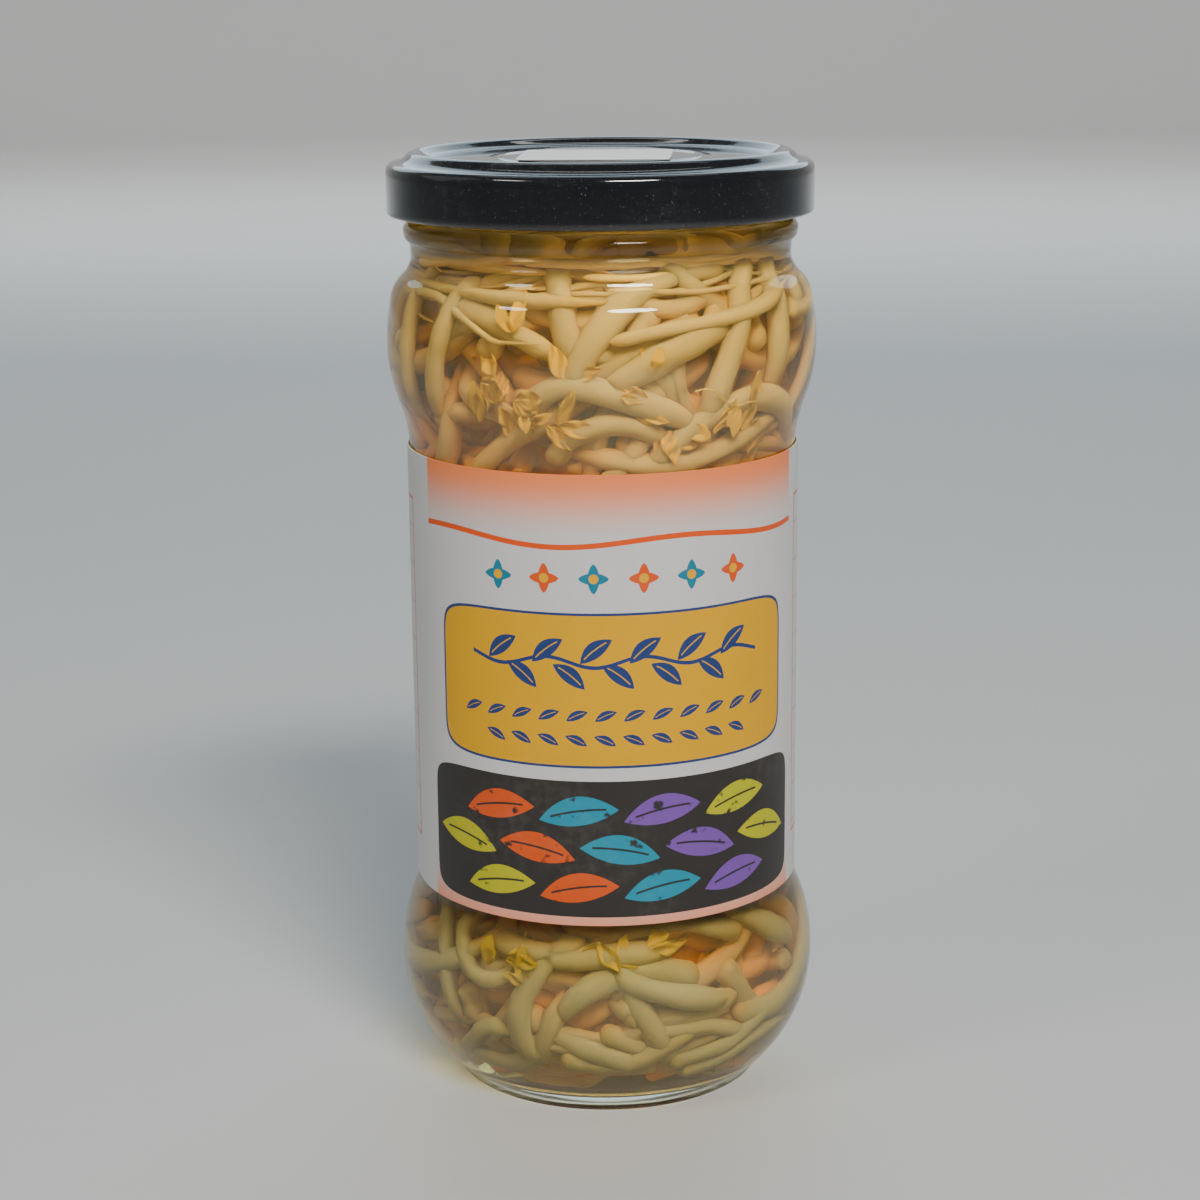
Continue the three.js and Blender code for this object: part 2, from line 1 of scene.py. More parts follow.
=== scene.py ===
"""The look of a closed glass jar of bean sprouts in brine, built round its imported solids.

Lengths are worked out in millimetres and put into each mesh in metres, in the solids' own frame: +Z up,
the origin under the middle of the foot, and the front of the label towards -Y.
"""

import math

import bpy
import numpy as np
from mathutils import Matrix

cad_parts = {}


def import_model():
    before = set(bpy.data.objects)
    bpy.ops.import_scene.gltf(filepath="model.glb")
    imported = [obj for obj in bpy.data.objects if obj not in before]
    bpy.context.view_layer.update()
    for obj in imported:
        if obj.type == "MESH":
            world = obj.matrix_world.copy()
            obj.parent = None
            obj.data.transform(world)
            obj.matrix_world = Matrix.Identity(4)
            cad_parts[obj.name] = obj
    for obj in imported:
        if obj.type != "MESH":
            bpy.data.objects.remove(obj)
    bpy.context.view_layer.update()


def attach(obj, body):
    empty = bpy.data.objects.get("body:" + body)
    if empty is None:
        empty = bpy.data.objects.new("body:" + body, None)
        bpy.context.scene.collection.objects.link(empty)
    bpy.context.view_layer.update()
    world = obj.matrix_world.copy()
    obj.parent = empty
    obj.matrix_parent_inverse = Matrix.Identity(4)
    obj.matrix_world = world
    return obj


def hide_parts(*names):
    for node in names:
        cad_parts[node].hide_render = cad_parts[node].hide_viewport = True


# The jar's driving sizes, as in the solids
FOOT_R = 23.3
FOOT_INNER_R = 21.3
FOOT_CORNER = 3.0
PUSH_UP = 2.8
BULGE_R = 34.0
WAIST_R = 30.7
BEAD_R = 31.05
FINISH_R = 29.3
MOUTH_R = 27.3
HEEL_R = 24.0
LOWER_BULGE_Z = 19.9
LOWER_BULGE_TOP_Z = 20.5
WAIST_BOTTOM_Z = 36.2
WAIST_TOP_Z = 103.4
UPPER_BULGE_Z = 121.4
SHOULDER_Z = 128.4
SHOULDER_CURVE = 38.0
SHOULDER_CORNER = 6.0
SHOULDER_DEG = 48.0
NECK_FILLET = 4.6
BEAD_Z = 138.75
BEAD_SECTION_R = 1.9
RIM_Z = 148.75
WALL = 2.2
HEEL_WALL = 2.4
FLOOR_Z = 5.6

# The cap and the thread
CAP_R = 33.5
CAP_SHEET = 0.4
CAP_BOTTOM_Z = 141.35
CAP_TOP_Z = 151.0
CAP_BEAD_R = 29.2
PANEL_Z = 149.8
BUTTON_R = 16.0
LUGS = 4
LUG_HALF_DEG = 7.0
LUG_TIP_R = 30.1
LUG_TOP_Z = 143.2
TURN_TO_OPEN_DEG = 66.0
RISE_TO_OPEN = 1.8
THREAD_R = 30.8
THREAD_START_DEG = -9.0
THREAD_END_DEG = 50.0
THREAD_HEIGHT = 1.4
THREAD_GAP = 0.45

# The label, the sticker and the brine
LABEL_BOTTOM_Z = 34.1
LABEL_TOP_Z = 105.2
LABEL_R = 31.0
PAPER = 0.2
LABEL_LAP_DEG = 12.0
PRINT_MIDDLE, PRINT_HALF, SIDE_FRAME_AT = 2.2, 35.0, 64.0
STICKER_WIDTH, STICKER_DEPTH, STICKER_CORNER = 23.4, 20.5, 1.0
STICKER_X, STICKER_Y, STICKER_TURN_DEG = -0.6, -5.2, -3.5
FIT_GAP = 0.25
BRINE_INTO_GLASS = 0.35
BRINE_TOP_Z = 143.9

# The rule that drops the sprouts in and settles them, as in the solids
SEED = 20260
STATIONS = 14
SPROUT_GAP = 1.2
RELAX_STEPS = 96
LIST_EVERY = 8
LIST_REACH = 2.5
HOME_PULL = 0.2
BANDS = (
    {"name": "sprouts_lower", "low": 6.0, "high": 48.2, "outer": 30, "inner": 56, "flat": 0.62},
    {"name": "sprouts_middle", "low": 48.8, "high": 89.8, "outer": 8, "inner": 24, "flat": 1.0},
    {"name": "sprouts_upper", "low": 90.4, "high": 142.0, "outer": 34, "inner": 60, "flat": 0.8},
)
# The sprouts that show most, which keep their places: degrees round from the front, height of the middle,
# heading there in degrees from level, length, bend in degrees, radius, and depth from the wall.
PLACED = {
    "sprouts_lower": (
        (-1, 27, 0, 34, 8, 2.1, 0.2),
        (-2, 24, 200, 30, 115, 1.9, 0.6),
        (-28, 18, -100, 30, 130, 1.9, 0.3),
        (-19, 15, 62, 20, 30, 1.8, 1.4),
        (-1, 12, -21, 26, 10, 2.1, 0.3),
        (15, 15, -60, 22, 15, 1.8, 0.8),
        (24, 21, -18, 24, 10, 2.0, 0.3),
        (-43, 22, -27, 26, 240, 1.4, 0.2),
        (-58, 22, -75, 28, 20, 1.6, 0.4),
        (61, 27, -33, 28, 10, 2.0, 0.3),
    ),
    "sprouts_middle": (),
    "sprouts_upper": (
        (13, 122, -150, 26, 45, 2.1, 0.3),
        (8, 122, -155, 22, 10, 1.9, 1.5),
        (0, 127, -136, 44, 105, 2.2, 0.0),
        (38, 120, -113, 36, 20, 2.1, 0.4),
        (-28, 126, -20, 28, -40, 1.7, 1.0),
        (-11, 126, -75, 20, 15, 2.1, 1.2),
        (62, 125, -100, 28, 10, 1.9, 0.5),
        (-71, 121, -95, 26, 15, 1.7, 0.5),
        (-55, 120, -108, 26, 20, 1.6, 0.5),
        (7, 113, -5, 26, -155, 1.8, 0.5),
        (7, 106, 78, 22, 15, 1.7, 1.5),
    ),
}
SPROUT_SHAPE = ((0, 0), (0.06, 1.05), (0.22, 0.95), (0.4, 1), (0.58, 1), (0.76, 0.8), (0.9, 0.4), (1, 0))

# Where the small yellow leaves gather: degrees round from the front, height, how many pairs
LEAF_CLUSTERS = (
    (-23, 115, 10),
    (16, 114, 8),
    (-33, 118, 4),
    (-25, 26, 4),
    (6, 29.5, 5),
    (44, 112, 4),
    (140, 114, 8),
    (-130, 27, 6),
)
# How far the leaves of a cluster stray from its middle: degrees round, and up or down
LEAF_STRAY_DEG, LEAF_STRAY = 7.5, 2.8
# The share of the sprouts that show a head with leaves, and the share that trail a root thread
HEADS_WITH_LEAVES, TAILS_WITH_THREADS = 0.4, 0.4

# How finely the pieces are made
AROUND = 160
SPROUT_SIDES = 14
DEEP_SIDES = 8
LEVEL_SIDES = 10
THREAD_SIDES = 6
HEART_AROUND = 96
FLOOR_AROUND = 96
DEEP_SPROUTS = 290
DEEP_RADIUS = 1.8
# Level stems along the wall: name, count, lowest and highest middle, thinnest and thickest radius, the room
# they keep from the wall, how much deeper they may lie, and the longest
LEVEL_STEMS = (
    ("base_stems", 60, 9.0, 15.0, 0.8, 1.7, 2.4, 7.0, 24),
    ("collar_stems", 34, 126.5, 134.5, 0.5, 1.2, 1.5, 3.4, 44),
    ("neck_stems", 84, 135.5, 142.0, 0.6, 1.5, 1.6, 2.4, 44),
)
# The last steps of the sprouts towards the glass: how many times further out than settled, and how deep
# their ends dive between the others
TOWARDS_GLASS = 1.02
END_DIVE = 4.5
# How far inside the wall the middle of the pile stays: along the body, and in the neck and at the floor
HEART_DEPTH, HEART_NEAR = 10.0, 4.5
# The golden section spreads things evenly round the jar, and its relation for a plane spreads their depth
GOLDEN = 0.6180339887498949
GOLDEN_OF_PLANE = 0.7548776662466927
# One whole wave, in radians
FULL_WAVE = 6.28

# Colours as linear red, green and blue
GLASS_TINT, GLASS_SHADOW = (0.93, 0.96, 0.935, 1), (0.95, 0.97, 0.95, 1)
BRINE_TINT, BRINE_SHADOW = (0.97, 0.77, 0.24, 1), (0.97, 0.84, 0.47, 1)
STEM, STEM_WARM = (0.46, 0.35, 0.24, 1), (0.46, 0.29, 0.08, 1)
# Painted brine tint and shade: the amber that the deep sprouts and the heart are painted
PAINTED_DEPTH_AMBER, PAINTED_DEPTH_AMBER_HEART = (0.6, 0.21, 0.0, 1), (0.66, 0.23, 0.0, 1)
# Painted light: brighter colours for the neck stems, a lit copy of the flesh standing in for the light the
# cap shades off them
NECK_STEM_PAINTED_LIGHT, NECK_WARM_PAINTED_LIGHT, NECK_AMBER_PAINTED_LIGHT = (0.95, 0.68, 0.34, 1), (0.94, 0.6, 0.2, 1), (0.94, 0.5, 0.08, 1)
LEAF_YELLOW, LEAF_WARM = (0.6, 0.34, 0.0, 1), (0.62, 0.38, 0.004, 1)
ROOT_SKIN, ROOT_WARM = (0.55, 0.4, 0.12, 1), (0.52, 0.35, 0.08, 1)
# Painted shade: the colour that the sprouts in the lower window are multiplied by
PAINTED_LOWER_SHADE = (0.5, 0.61, 0.79, 1)
# Between these depths from the wall a sprout turns amber, as painted brine tint and shade, and between these
# heights the painted lower shade comes in
PAINTED_AMBER_FROM, PAINTED_AMBER_TO = 2.2, 9.0
PAINTED_SHADE_FULL_Z, PAINTED_SHADE_NONE_Z = 44.0, 56.0
FLOOR_GREY = (0.58, 0.58, 0.57, 1)
NAVY = (0.025, 0.05, 0.17, 1)
PEACH = (0.95, 0.25, 0.08, 1)
ORANGE = (0.78, 0.09, 0.01, 1)
LEAF_INKS = ((0.19, 0.08, 0.38, 1), (0.5, 0.48, 0.01, 1), (0.7, 0.09, 0.01, 1), (0.01, 0.26, 0.38, 1))

# The print on the front of the label, in millimetres up from its lower edge and across from its middle
BLOSSOMS_Z, BLOSSOM_PITCH, BLOSSOMS_REACH = 55.2, 7.6, 20.0
PETAL_LONG, PETAL_WIDE = 2.3, 0.95
YELLOW_Z, YELLOW_HALF_WIDE, YELLOW_HALF_HIGH, YELLOW_EDGE = 37.7, 30.6, 11.8, 0.4
TWIG_Z = 42.2
DARK_Z, DARK_HALF_WIDE, DARK_HALF_HIGH = 12.4, 34.2, 11.0
# The rows of small leaves: height, pitch, half length, half width, slant in degrees, shift, and reach
TWIG_LEAVES = (
    (44.2, 7.5, 3.1, 1.25, 38, 0.0, 25),
    (40.2, 7.5, 3.1, 1.25, -38, 3.75, 22),
    (33.9, 4.4, 1.85, 0.7, 24, 0.0, 27),
    (30.0, 4.4, 1.85, 0.7, -24, 0.0, 24),
)
# The rows of long leaves on the dark field: height and slant in degrees
LONG_LEAVES = ((18.6, 9), (12.4, -9), (6.2, 9))
FRAME_HALF_WIDE, FRAME_HALF_HIGH, FRAME_LINE, FRAME_ROWS = 24.0, 28.0, 0.4, 6.2

# The lamps, in metres: name, place, aim, width, height, watts and tint
JAR_MIDDLE = (0, 0, 0.08)
WARM_WHITE, WHITE, SKY = (1, 0.97, 0.93), (1, 1, 1), (0.66, 0.87, 1)
LAMPS = (
    ("lamp_left", (-0.68, -0.46, 0.8), JAR_MIDDLE, 0.3, 0.15, 1.8, WARM_WHITE),
    ("lamp_right", (0.27, -0.78, 0.86), JAR_MIDDLE, 0.46, 0.2, 13.5, WARM_WHITE),
    ("lamp_side", (-1.1, 0.1, 0.7), JAR_MIDDLE, 0.8, 0.9, 0.5, WHITE),
    ("lamp_back", (0.1, 1.4, 0.95), JAR_MIDDLE, 2.6, 1.1, 10, SKY),
    ("lamp_backdrop", (0, 0.6, 1.6), (0, 2.6, 0), 1.6, 0.5, 7, WHITE),
    ("lamp_wall", (0, 1.2, 1.1), (0, 3.2, 0.35), 2.4, 0.4, 26, WHITE),
)
ROOM_LIGHT, ROOM_STRENGTH = (0.83, 0.88, 1.0, 1), 0.09

# The camera: its place in metres, its tilt below level and its roll in radians, and its lens
CAMERA_PLACE = (-0.00065, -0.4151, 0.1795)
CAMERA_TILT, CAMERA_ROLL = 0.2386, -0.0097
CAMERA_LENS, CAMERA_SENSOR = 78.86, 36.0


# Outlines: lines of (radius, height) points


def arc(r, z, radius, start, end, steps):
    """Points round a circle about (r, z), from one angle to another in degrees."""
    a = np.radians(np.linspace(start, end, steps + 1))
    return np.stack([r + radius * np.cos(a), z + radius * np.sin(a)], axis=1)


def s_curve(r0, z0, r1, z1, first_share, steps):
    """Two arcs that meet in an S with both ends upright; the radii of the arcs stand in the given share."""
    swing = 2 * math.atan2(abs(r1 - r0), z1 - z0)
    total = (z1 - z0) / math.sin(swing)
    way = math.copysign(1, r1 - r0)
    first, second = total * first_share, total * (1 - first_share)
    a = swing * np.arange(1, steps + 1) / steps
    b = swing * np.arange(steps - 1, -1, -1) / steps
    low = np.stack([r0 + way * first * (1 - np.cos(a)), z0 + first * np.sin(a)], axis=1)
    high = np.stack([r1 - way * second * (1 - np.cos(b)), z1 - second * np.sin(b)], axis=1)
    return np.concatenate([low, high])


def smoothed(points, steps):
    """A line through all the points with a smooth bend at each: in every span, the cubic whose slope at
    a point is half the way between that point's neighbours, read at the given number of even steps."""
    points = np.asarray(points, float)
    ends = np.concatenate([2 * points[:1] - points[1:2], points, 2 * points[-1:] - points[-2:-1]])
    p0, p1, p2, p3 = ends[:-3, None], ends[1:-2, None], ends[2:-1, None], ends[3:, None]
    t = np.linspace(0, 1, steps, endpoint=False)[None, :, None]
    line = 0.5 * (
        2 * p1
        + (p2 - p0) * t
        + (2 * p0 - 5 * p1 + 4 * p2 - p3) * t**2
        + (3 * p1 - p0 - 3 * p2 + p3) * t**3
    )
    return np.concatenate([line.reshape(-1, points.shape[1]), points[-1:]])


def joined(*lines):
    """Lines of points end to end."""
    return np.concatenate([np.atleast_2d(np.asarray(line, float)) for line in lines])


HEEL_CENTRE = BULGE_R - HEEL_R
FOOT_DEG = -math.degrees(math.asin((LOWER_BULGE_Z - FOOT_CORNER) / (HEEL_R - FOOT_CORNER)))
SHOULDER_TILT_DEG = math.degrees(math.asin((SHOULDER_Z - UPPER_BULGE_Z) / SHOULDER_CURVE))


def jar_outside(fine=4):
    """The jar's outside, from the edge of the foot up to the finish and over the rim into the mouth."""
    tilt, steep = math.radians(SHOULDER_TILT_DEG), math.radians(SHOULDER_DEG)
    corner_r = BULGE_R - SHOULDER_CURVE * (1 - math.cos(tilt)) - SHOULDER_CORNER * math.cos(tilt)
    corner_z = SHOULDER_Z - SHOULDER_CORNER * math.sin(tilt)
    reach = SHOULDER_CORNER + NECK_FILLET
    fillet_r = corner_r + reach * math.cos(steep)
    fillet_z = corner_z + reach * math.sin(steep)
    finish_z = BEAD_Z + BEAD_SECTION_R
    return joined(
        arc(FOOT_R, FOOT_CORNER, FOOT_CORNER, -90, FOOT_DEG, 2 * fine),
        arc(HEEL_CENTRE, LOWER_BULGE_Z, HEEL_R, FOOT_DEG, 0, 5 * fine)[1:],
        (BULGE_R, LOWER_BULGE_TOP_Z),
        s_curve(BULGE_R, LOWER_BULGE_TOP_Z, WAIST_R, WAIST_BOTTOM_Z, 0.69, 2 * fine),
        s_curve(WAIST_R, WAIST_TOP_Z, BULGE_R, UPPER_BULGE_Z, 0.49, 2 * fine),
        arc(BULGE_R - SHOULDER_CURVE, UPPER_BULGE_Z, SHOULDER_CURVE, 0, SHOULDER_TILT_DEG, 2 * fine)[1:],
        arc(corner_r, corner_z, SHOULDER_CORNER, SHOULDER_TILT_DEG, SHOULDER_DEG, 2 * fine)[1:],
        arc(fillet_r, fillet_z, NECK_FILLET, 180 + SHOULDER_DEG, 180, 2 * fine)[1:],
        arc(BEAD_R - BEAD_SECTION_R, BEAD_Z, BEAD_SECTION_R, -62, 70, 3 * fine),
        [(FINISH_R, finish_z), (FINISH_R, RIM_Z - 0.7)],
        [(FINISH_R - 0.2, RIM_Z - 0.2), (FINISH_R - 0.7, RIM_Z)],
        [(MOUTH_R + 0.7, RIM_Z), (MOUTH_R + 0.2, RIM_Z - 0.2), (MOUTH_R, RIM_Z - 0.7)],
    )


def jar_cavity(bends=1, heel=3, corner=2):
    """The cavity's wall from the mouth down to the edge of the floor."""
    heel_r = HEEL_R - HEEL_WALL
    turn, small = -40, 4.0
    centre_r = HEEL_CENTRE + (heel_r - small) * math.cos(math.radians(turn))
    centre_z = LOWER_BULGE_Z + (heel_r - small) * math.sin(math.radians(turn))
    upper = s_curve(WAIST_R - WALL, WAIST_TOP_Z, BULGE_R - WALL, UPPER_BULGE_Z, 0.49, bends)
    lower = s_curve(BULGE_R - HEEL_WALL, LOWER_BULGE_TOP_Z, WAIST_R - WALL, WAIST_BOTTOM_Z, 0.69, bends)
    return joined(
        (MOUTH_R, 135.5),
        (BULGE_R - WALL - 1.8, SHOULDER_Z + 1.3),
        (BULGE_R - WALL - 0.25, SHOULDER_Z - 4),
        upper[::-1],
        (WAIST_R - WALL, WAIST_TOP_Z),
        lower[::-1],
        (BULGE_R - HEEL_WALL, LOWER_BULGE_TOP_Z),
        arc(HEEL_CENTRE, LOWER_BULGE_Z, heel_r, 0, turn, heel),
        arc(centre_r, centre_z, small, turn, -86, corner)[1:],
    )


CAVITY_WALL = jar_cavity()


def cavity_radius(z):
    """The radius of the cavity at each height, read between the points of its outline."""
    return np.interp(z, CAVITY_WALL[::-1, 1], CAVITY_WALL[::-1, 0])


def reach_at(z, room):
    """How far from the axis a ball may be centred at each height, with that much room about it."""
    reach = np.full(np.broadcast(z, room).shape, np.inf)
    for tilt in np.radians([-75, -50, -25, 0, 25]):
        reach = np.minimum(reach, cavity_radius(z + room * np.sin(tilt)) - room * np.cos(tilt))
    return reach


# Meshes


def make_piece(name, points, faces, material, smooth=True, marks=None, uv=None):
    """A piece from points in millimetres and arrays of faces. marks are numbers for each point, and uv
    is a place on the print for each point."""
    mesh = bpy.data.meshes.new(name)
    metres = (np.asarray(points) / 1000).tolist()
    mesh.from_pydata(metres, [], [face for block in faces for face in block.tolist()])
    mesh.polygons.foreach_set("use_smooth", np.full(len(mesh.polygons), smooth))
    for mark, values in (marks or {}).items():
        layer = mesh.attributes.new(mark, "FLOAT", "POINT")
        layer.data.foreach_set("value", np.asarray(values, np.float32))
    if uv is not None:
        corner = np.empty(len(mesh.loops), np.int32)
        mesh.loops.foreach_get("vertex_index", corner)
        mesh.uv_layers.new(name="print").data.foreach_set("uv", np.asarray(uv, np.float32)[corner].ravel())
    mesh.materials.append(material)
    mesh.update()
    piece = bpy.data.objects.new(name, mesh)
    bpy.context.scene.collection.objects.link(piece)
    return piece


def tube_faces(rows, around, first=0, ring=False):
    """The four-sided faces between rows of points that each close on themselves. A ring also joins its
    last row to its first."""
    last = rows if ring else rows - 1
    row, col = np.meshgrid(np.arange(last), np.arange(around), indexing="ij")
    here, above = row * around, (row + 1) % rows * around
    beside = (col + 1) % around
    quads = np.stack([here + col, here + beside, above + beside, above + col], -1)
    return quads.reshape(-1, 4) + first


def turned(outline, around=AROUND, ring=False):
    """An outline of (radius, height) carried round Z, with radius to the right and the solid on the left
    of its way. An open outline starts and ends on the axis, where a single point closes it."""
    a = 2 * np.pi * np.arange(around) / around
    body = outline if ring else outline[1:-1]
    r, z = body[:, :1], body[:, 1:]
    points = np.stack([r * np.cos(a), r * np.sin(a), z + 0 * a], axis=-1).reshape(-1, 3)
    rows = len(body)
    faces = [tube_faces(rows, around, ring=ring)]
    if not ring:
        low, high = len(points), len(points) + 1
        points = np.concatenate([points, [[0, 0, outline[0, 1]], [0, 0, outline[-1, 1]]]])
        col = np.arange(around)
        beside = (col + 1) % around
        top = (rows - 1) * around
        faces.append(np.stack([beside, col, np.full(around, low)], -1))
        faces.append(np.stack([top + col, top + beside, np.full(around, high)], -1))
    return points, faces


def bent_bar(start, end, section, steps):
    """A bar bent round Z from one angle to another: its corner lines are (radius, height) functions of the
    share of the way."""
    share = np.linspace(0, 1, steps + 1)
    a = np.radians(start + (end - start) * share)
    corners = [np.stack(np.broadcast_arrays(*corner(share), share)[:2], -1) for corner in section]
    r, z = np.moveaxis(np.stack(corners, 1), -1, 0)
    points = np.stack([r * np.cos(a)[:, None], r * np.sin(a)[:, None], z], -1).reshape(-1, 3)
    sides = len(section)
    last = len(points) - sides
    ends = [np.arange(sides)[None, ::-1], np.arange(sides)[None] + last]
    return points, [tube_faces(steps + 1, sides), *ends]


def together(shapes):
    """Several shapes as one list of points and faces."""
    points, faces, count = [], [], 0
    for shape, blocks in shapes:
        points.append(shape)
        faces += [block + count for block in blocks]
        count += len(shape)
    return np.concatenate(points), faces


# Sprouts: the rule that places them


def drawer(seed):
    """Seeded draws between 0 and 1: the last state times one number plus another, without the parts past
    the 32nd binary place."""
    state = seed

    def draw():
        """The next draw."""
        nonlocal state
        state = (state * 1664525 + 1013904223) % 2**32
        return state / 2**32

    return draw


def shape_at(share):
    """A sprout's thickness at a share of its length: the swollen head, the stem and the tapered root."""
    along, thick = np.array(SPROUT_SHAPE, float).T
    return np.interp(share, along, thick)


def laid_sprout(band, held, around, height, heading, length, bend, hook, radius, depth):
    """A sprout on the inside of the wall: it leaves its middle both ways in even steps, and its heading
    there is the heading of the middle plus the bend times the share of its length plus the hook times
    four times the cube of that share."""
    middle = STATIONS // 2
    t = (np.arange(STATIONS - 1) + 0.5) / (STATIONS - 1) - 0.5
    wall = float(reach_at(height, SPROUT_GAP + radius)) - depth
    way = heading + bend * t + hook * t**3 * 4
    step = length / (STATIONS - 1)
    line = np.concatenate([[[0, 0]], np.cumsum(step * np.stack([np.cos(way), np.sin(way)], 1), axis=0)])
    line -= line[middle]
    angle = around + line[:, 0] / wall
    z = height + line[:, 1]
    r = np.maximum(4, np.minimum(wall, reach_at(z, SPROUT_GAP + radius) - depth))
    points = np.stack([r * np.cos(angle), r * np.sin(angle), z], 1)
    radii = np.maximum(0.3, radius * shape_at(np.arange(STATIONS) / (STATIONS - 1)))
    return {"band": band, "held": held, "radius": radius, "step": step, "points": points, "radii": radii}


def dropped_sprouts():
    """Every sprout: those that keep their places, and then the others as they are dropped in, spread
    evenly by the golden section."""
    draw = drawer(SEED)
    sprouts = []
    for band in BANDS:
        for turn, height, heading, length, bend, radius, depth in PLACED[band["name"]]:
            around, heading, bend = math.radians(turn - 90), math.radians(heading), math.radians(bend)
            sprouts.append(laid_sprout(band, True, around, height, heading, length, bend, 0, radius, depth))
        for i in range(band["outer"] + band["inner"]):
            outer = i < band["outer"]
            order = i if outer else i - band["outer"]
            count = band["outer"] if outer else band["inner"]
            length = 30 + 18 * draw()
            radius = 1.5 + 0.6 * draw()
            depth = 3 * draw() if outer else 3.5 + 5 * draw()
            heading = (draw() - 0.5) * math.pi * band["flat"] + (math.pi if draw() < 0.5 else 0)
            bend = (-1 if draw() < 0.5 else 1) * (0.4 + 2.2 * draw())
            hook = (draw() - 0.5) * 2.4
            around = 2 * math.pi * ((order * GOLDEN + draw() * 0.05) % 1)
            height = band["low"] + 3 + (band["high"] - band["low"] - 6) * ((order + 0.5) / count)
            place = (around, height, heading, length, bend, hook, radius, depth)
            sprouts.append(laid_sprout(band, False, *place))
    return sprouts


def close_pairs(at, radius):
    """The pairs of stations of different sprouts that lie near each other, looked up a block at a time."""
    first, second = [], []
    total = len(at)
    for start in range(0, total, 256):
        rows = np.arange(start, min(start + 256, total))
        apart = ((at[rows, None] - at[None]) ** 2).sum(-1)
        reach = (radius[rows, None] + radius[None] + LIST_REACH) ** 2
        later = np.arange(total)[None] >= (rows[:, None] // STATIONS + 1) * STATIONS
        a, b = np.nonzero((apart < reach) & later)
        first.append(rows[a])
        second.append(b)
    return np.concatenate(first), np.concatenate(second)


def settle(sprouts):
    """The sprouts push each other apart, keep their length and their bend, and stay inside the glass and
    their band, in small steps. In each step a station moves by half of each overlap, by a share of what
    its spans are too long, and by a share of the way back to its bend. The held ones are drawn back to
    where they started."""
    at = np.concatenate([s["points"] for s in sprouts])
    radius = np.concatenate([s["radii"] for s in sprouts])
    step = np.repeat([s["step"] for s in sprouts], STATIONS)
    low = np.repeat([s["band"]["low"] for s in sprouts], STATIONS) + 0.7 + radius
    high = np.repeat([s["band"]["high"] for s in sprouts], STATIONS) - radius
    home = at.copy()
    pull = np.repeat([HOME_PULL if s["held"] else 0.0 for s in sprouts], STATIONS)[:, None]
    place = np.arange(len(at)) % STATIONS
    inside = ((place > 0) & (place < STATIONS - 1))[:, None]

    def neighbours(line):
        """The station before and the one after each station."""
        return np.roll(line, 1, axis=0), np.roll(line, -1, axis=0)

    before, after = neighbours(at)
    bends = np.where(inside, at - (before + after) / 2, 0)
    for turn in range(RELAX_STEPS):
        if turn % LIST_EVERY == 0:
            a, b = close_pairs(at, radius)
        way = at[b] - at[a]
        apart = np.sqrt((way**2).sum(1)) + 1e-9
        over = radius[a] + radius[b] - apart
        hit = over > 0
        p, q = a[hit], b[hit]
        share = way[hit] / apart[hit, None] * over[hit, None] * 0.5
        hits = np.bincount(p, minlength=len(at)) + np.bincount(q, minlength=len(at))
        push = np.stack(
            [
                np.bincount(q, share[:, c], len(at)) - np.bincount(p, share[:, c], len(at))
                for c in range(3)
            ],
            axis=1,
        )
        at = at + push / np.maximum(1, hits)[:, None] * 1.2
        before, after = neighbours(at)
        moved = np.zeros_like(at)
        for other, held in ((before, place > 0), (after, place < STATIONS - 1)):
            way = other - at
            long = np.sqrt((way**2).sum(1)) + 1e-9
            moved += np.where(held[:, None], way / long[:, None] * (long - step)[:, None] * 0.4, 0)
        rest = (before + after) / 2 + bends
        moved += np.where(inside, (rest - at) * 0.3, 0)
        at = at + moved + (home - at) * pull
        at[:, 2] = np.minimum(high, np.maximum(low, at[:, 2]))
        limit = reach_at(at[:, 2], SPROUT_GAP + radius)
        out = np.hypot(at[:, 0], at[:, 1])
        at[:, :2] *= np.where(out > limit, limit / out, 1)[:, None]
    return at.reshape(-1, STATIONS, 3)


def deep_lines(count):
    """Sprouts in the middle of the jar, seen only through the gaps between the others: spread by the
    golden section over depth and height. Each leaves its middle both ways along a straight line, and sags
    beside it by the square of the way."""
    k = np.arange(count)
    rng = np.random.default_rng(SEED)
    height = 9 + 127 * (k + 0.5) / count
    r = cavity_radius(height) - 5 - 7 * ((k * GOLDEN_OF_PLANE) % 1)
    around = 2 * np.pi * ((k * GOLDEN) % 1)
    centre = np.stack([r * np.cos(around), r * np.sin(around), height], 1)
    along = rng.normal(size=(count, 3)) * [1, 1, 0.6]
    along /= np.linalg.norm(along, axis=1)[:, None]
    side = np.cross(along, rng.normal(size=(count, 3)))
    side /= np.linalg.norm(side, axis=1)[:, None]
    t = np.linspace(-0.5, 0.5, STATIONS)[None, :, None]
    length = rng.uniform(24, 36, (count, 1, 1))
    sag = rng.uniform(3, 12, (count, 1, 1))
    line = centre[:, None] + along[:, None] * t * length + side[:, None] * (4 * t**2 - 0.5) * sag
    line[..., 2] = np.clip(line[..., 2], 7.7, 139)
    out = np.hypot(line[..., 0], line[..., 1])
    limit = reach_at(line[..., 2], 4.8)
    line[..., :2] *= np.where(out > limit, limit / out, 1)[..., None]
    return line


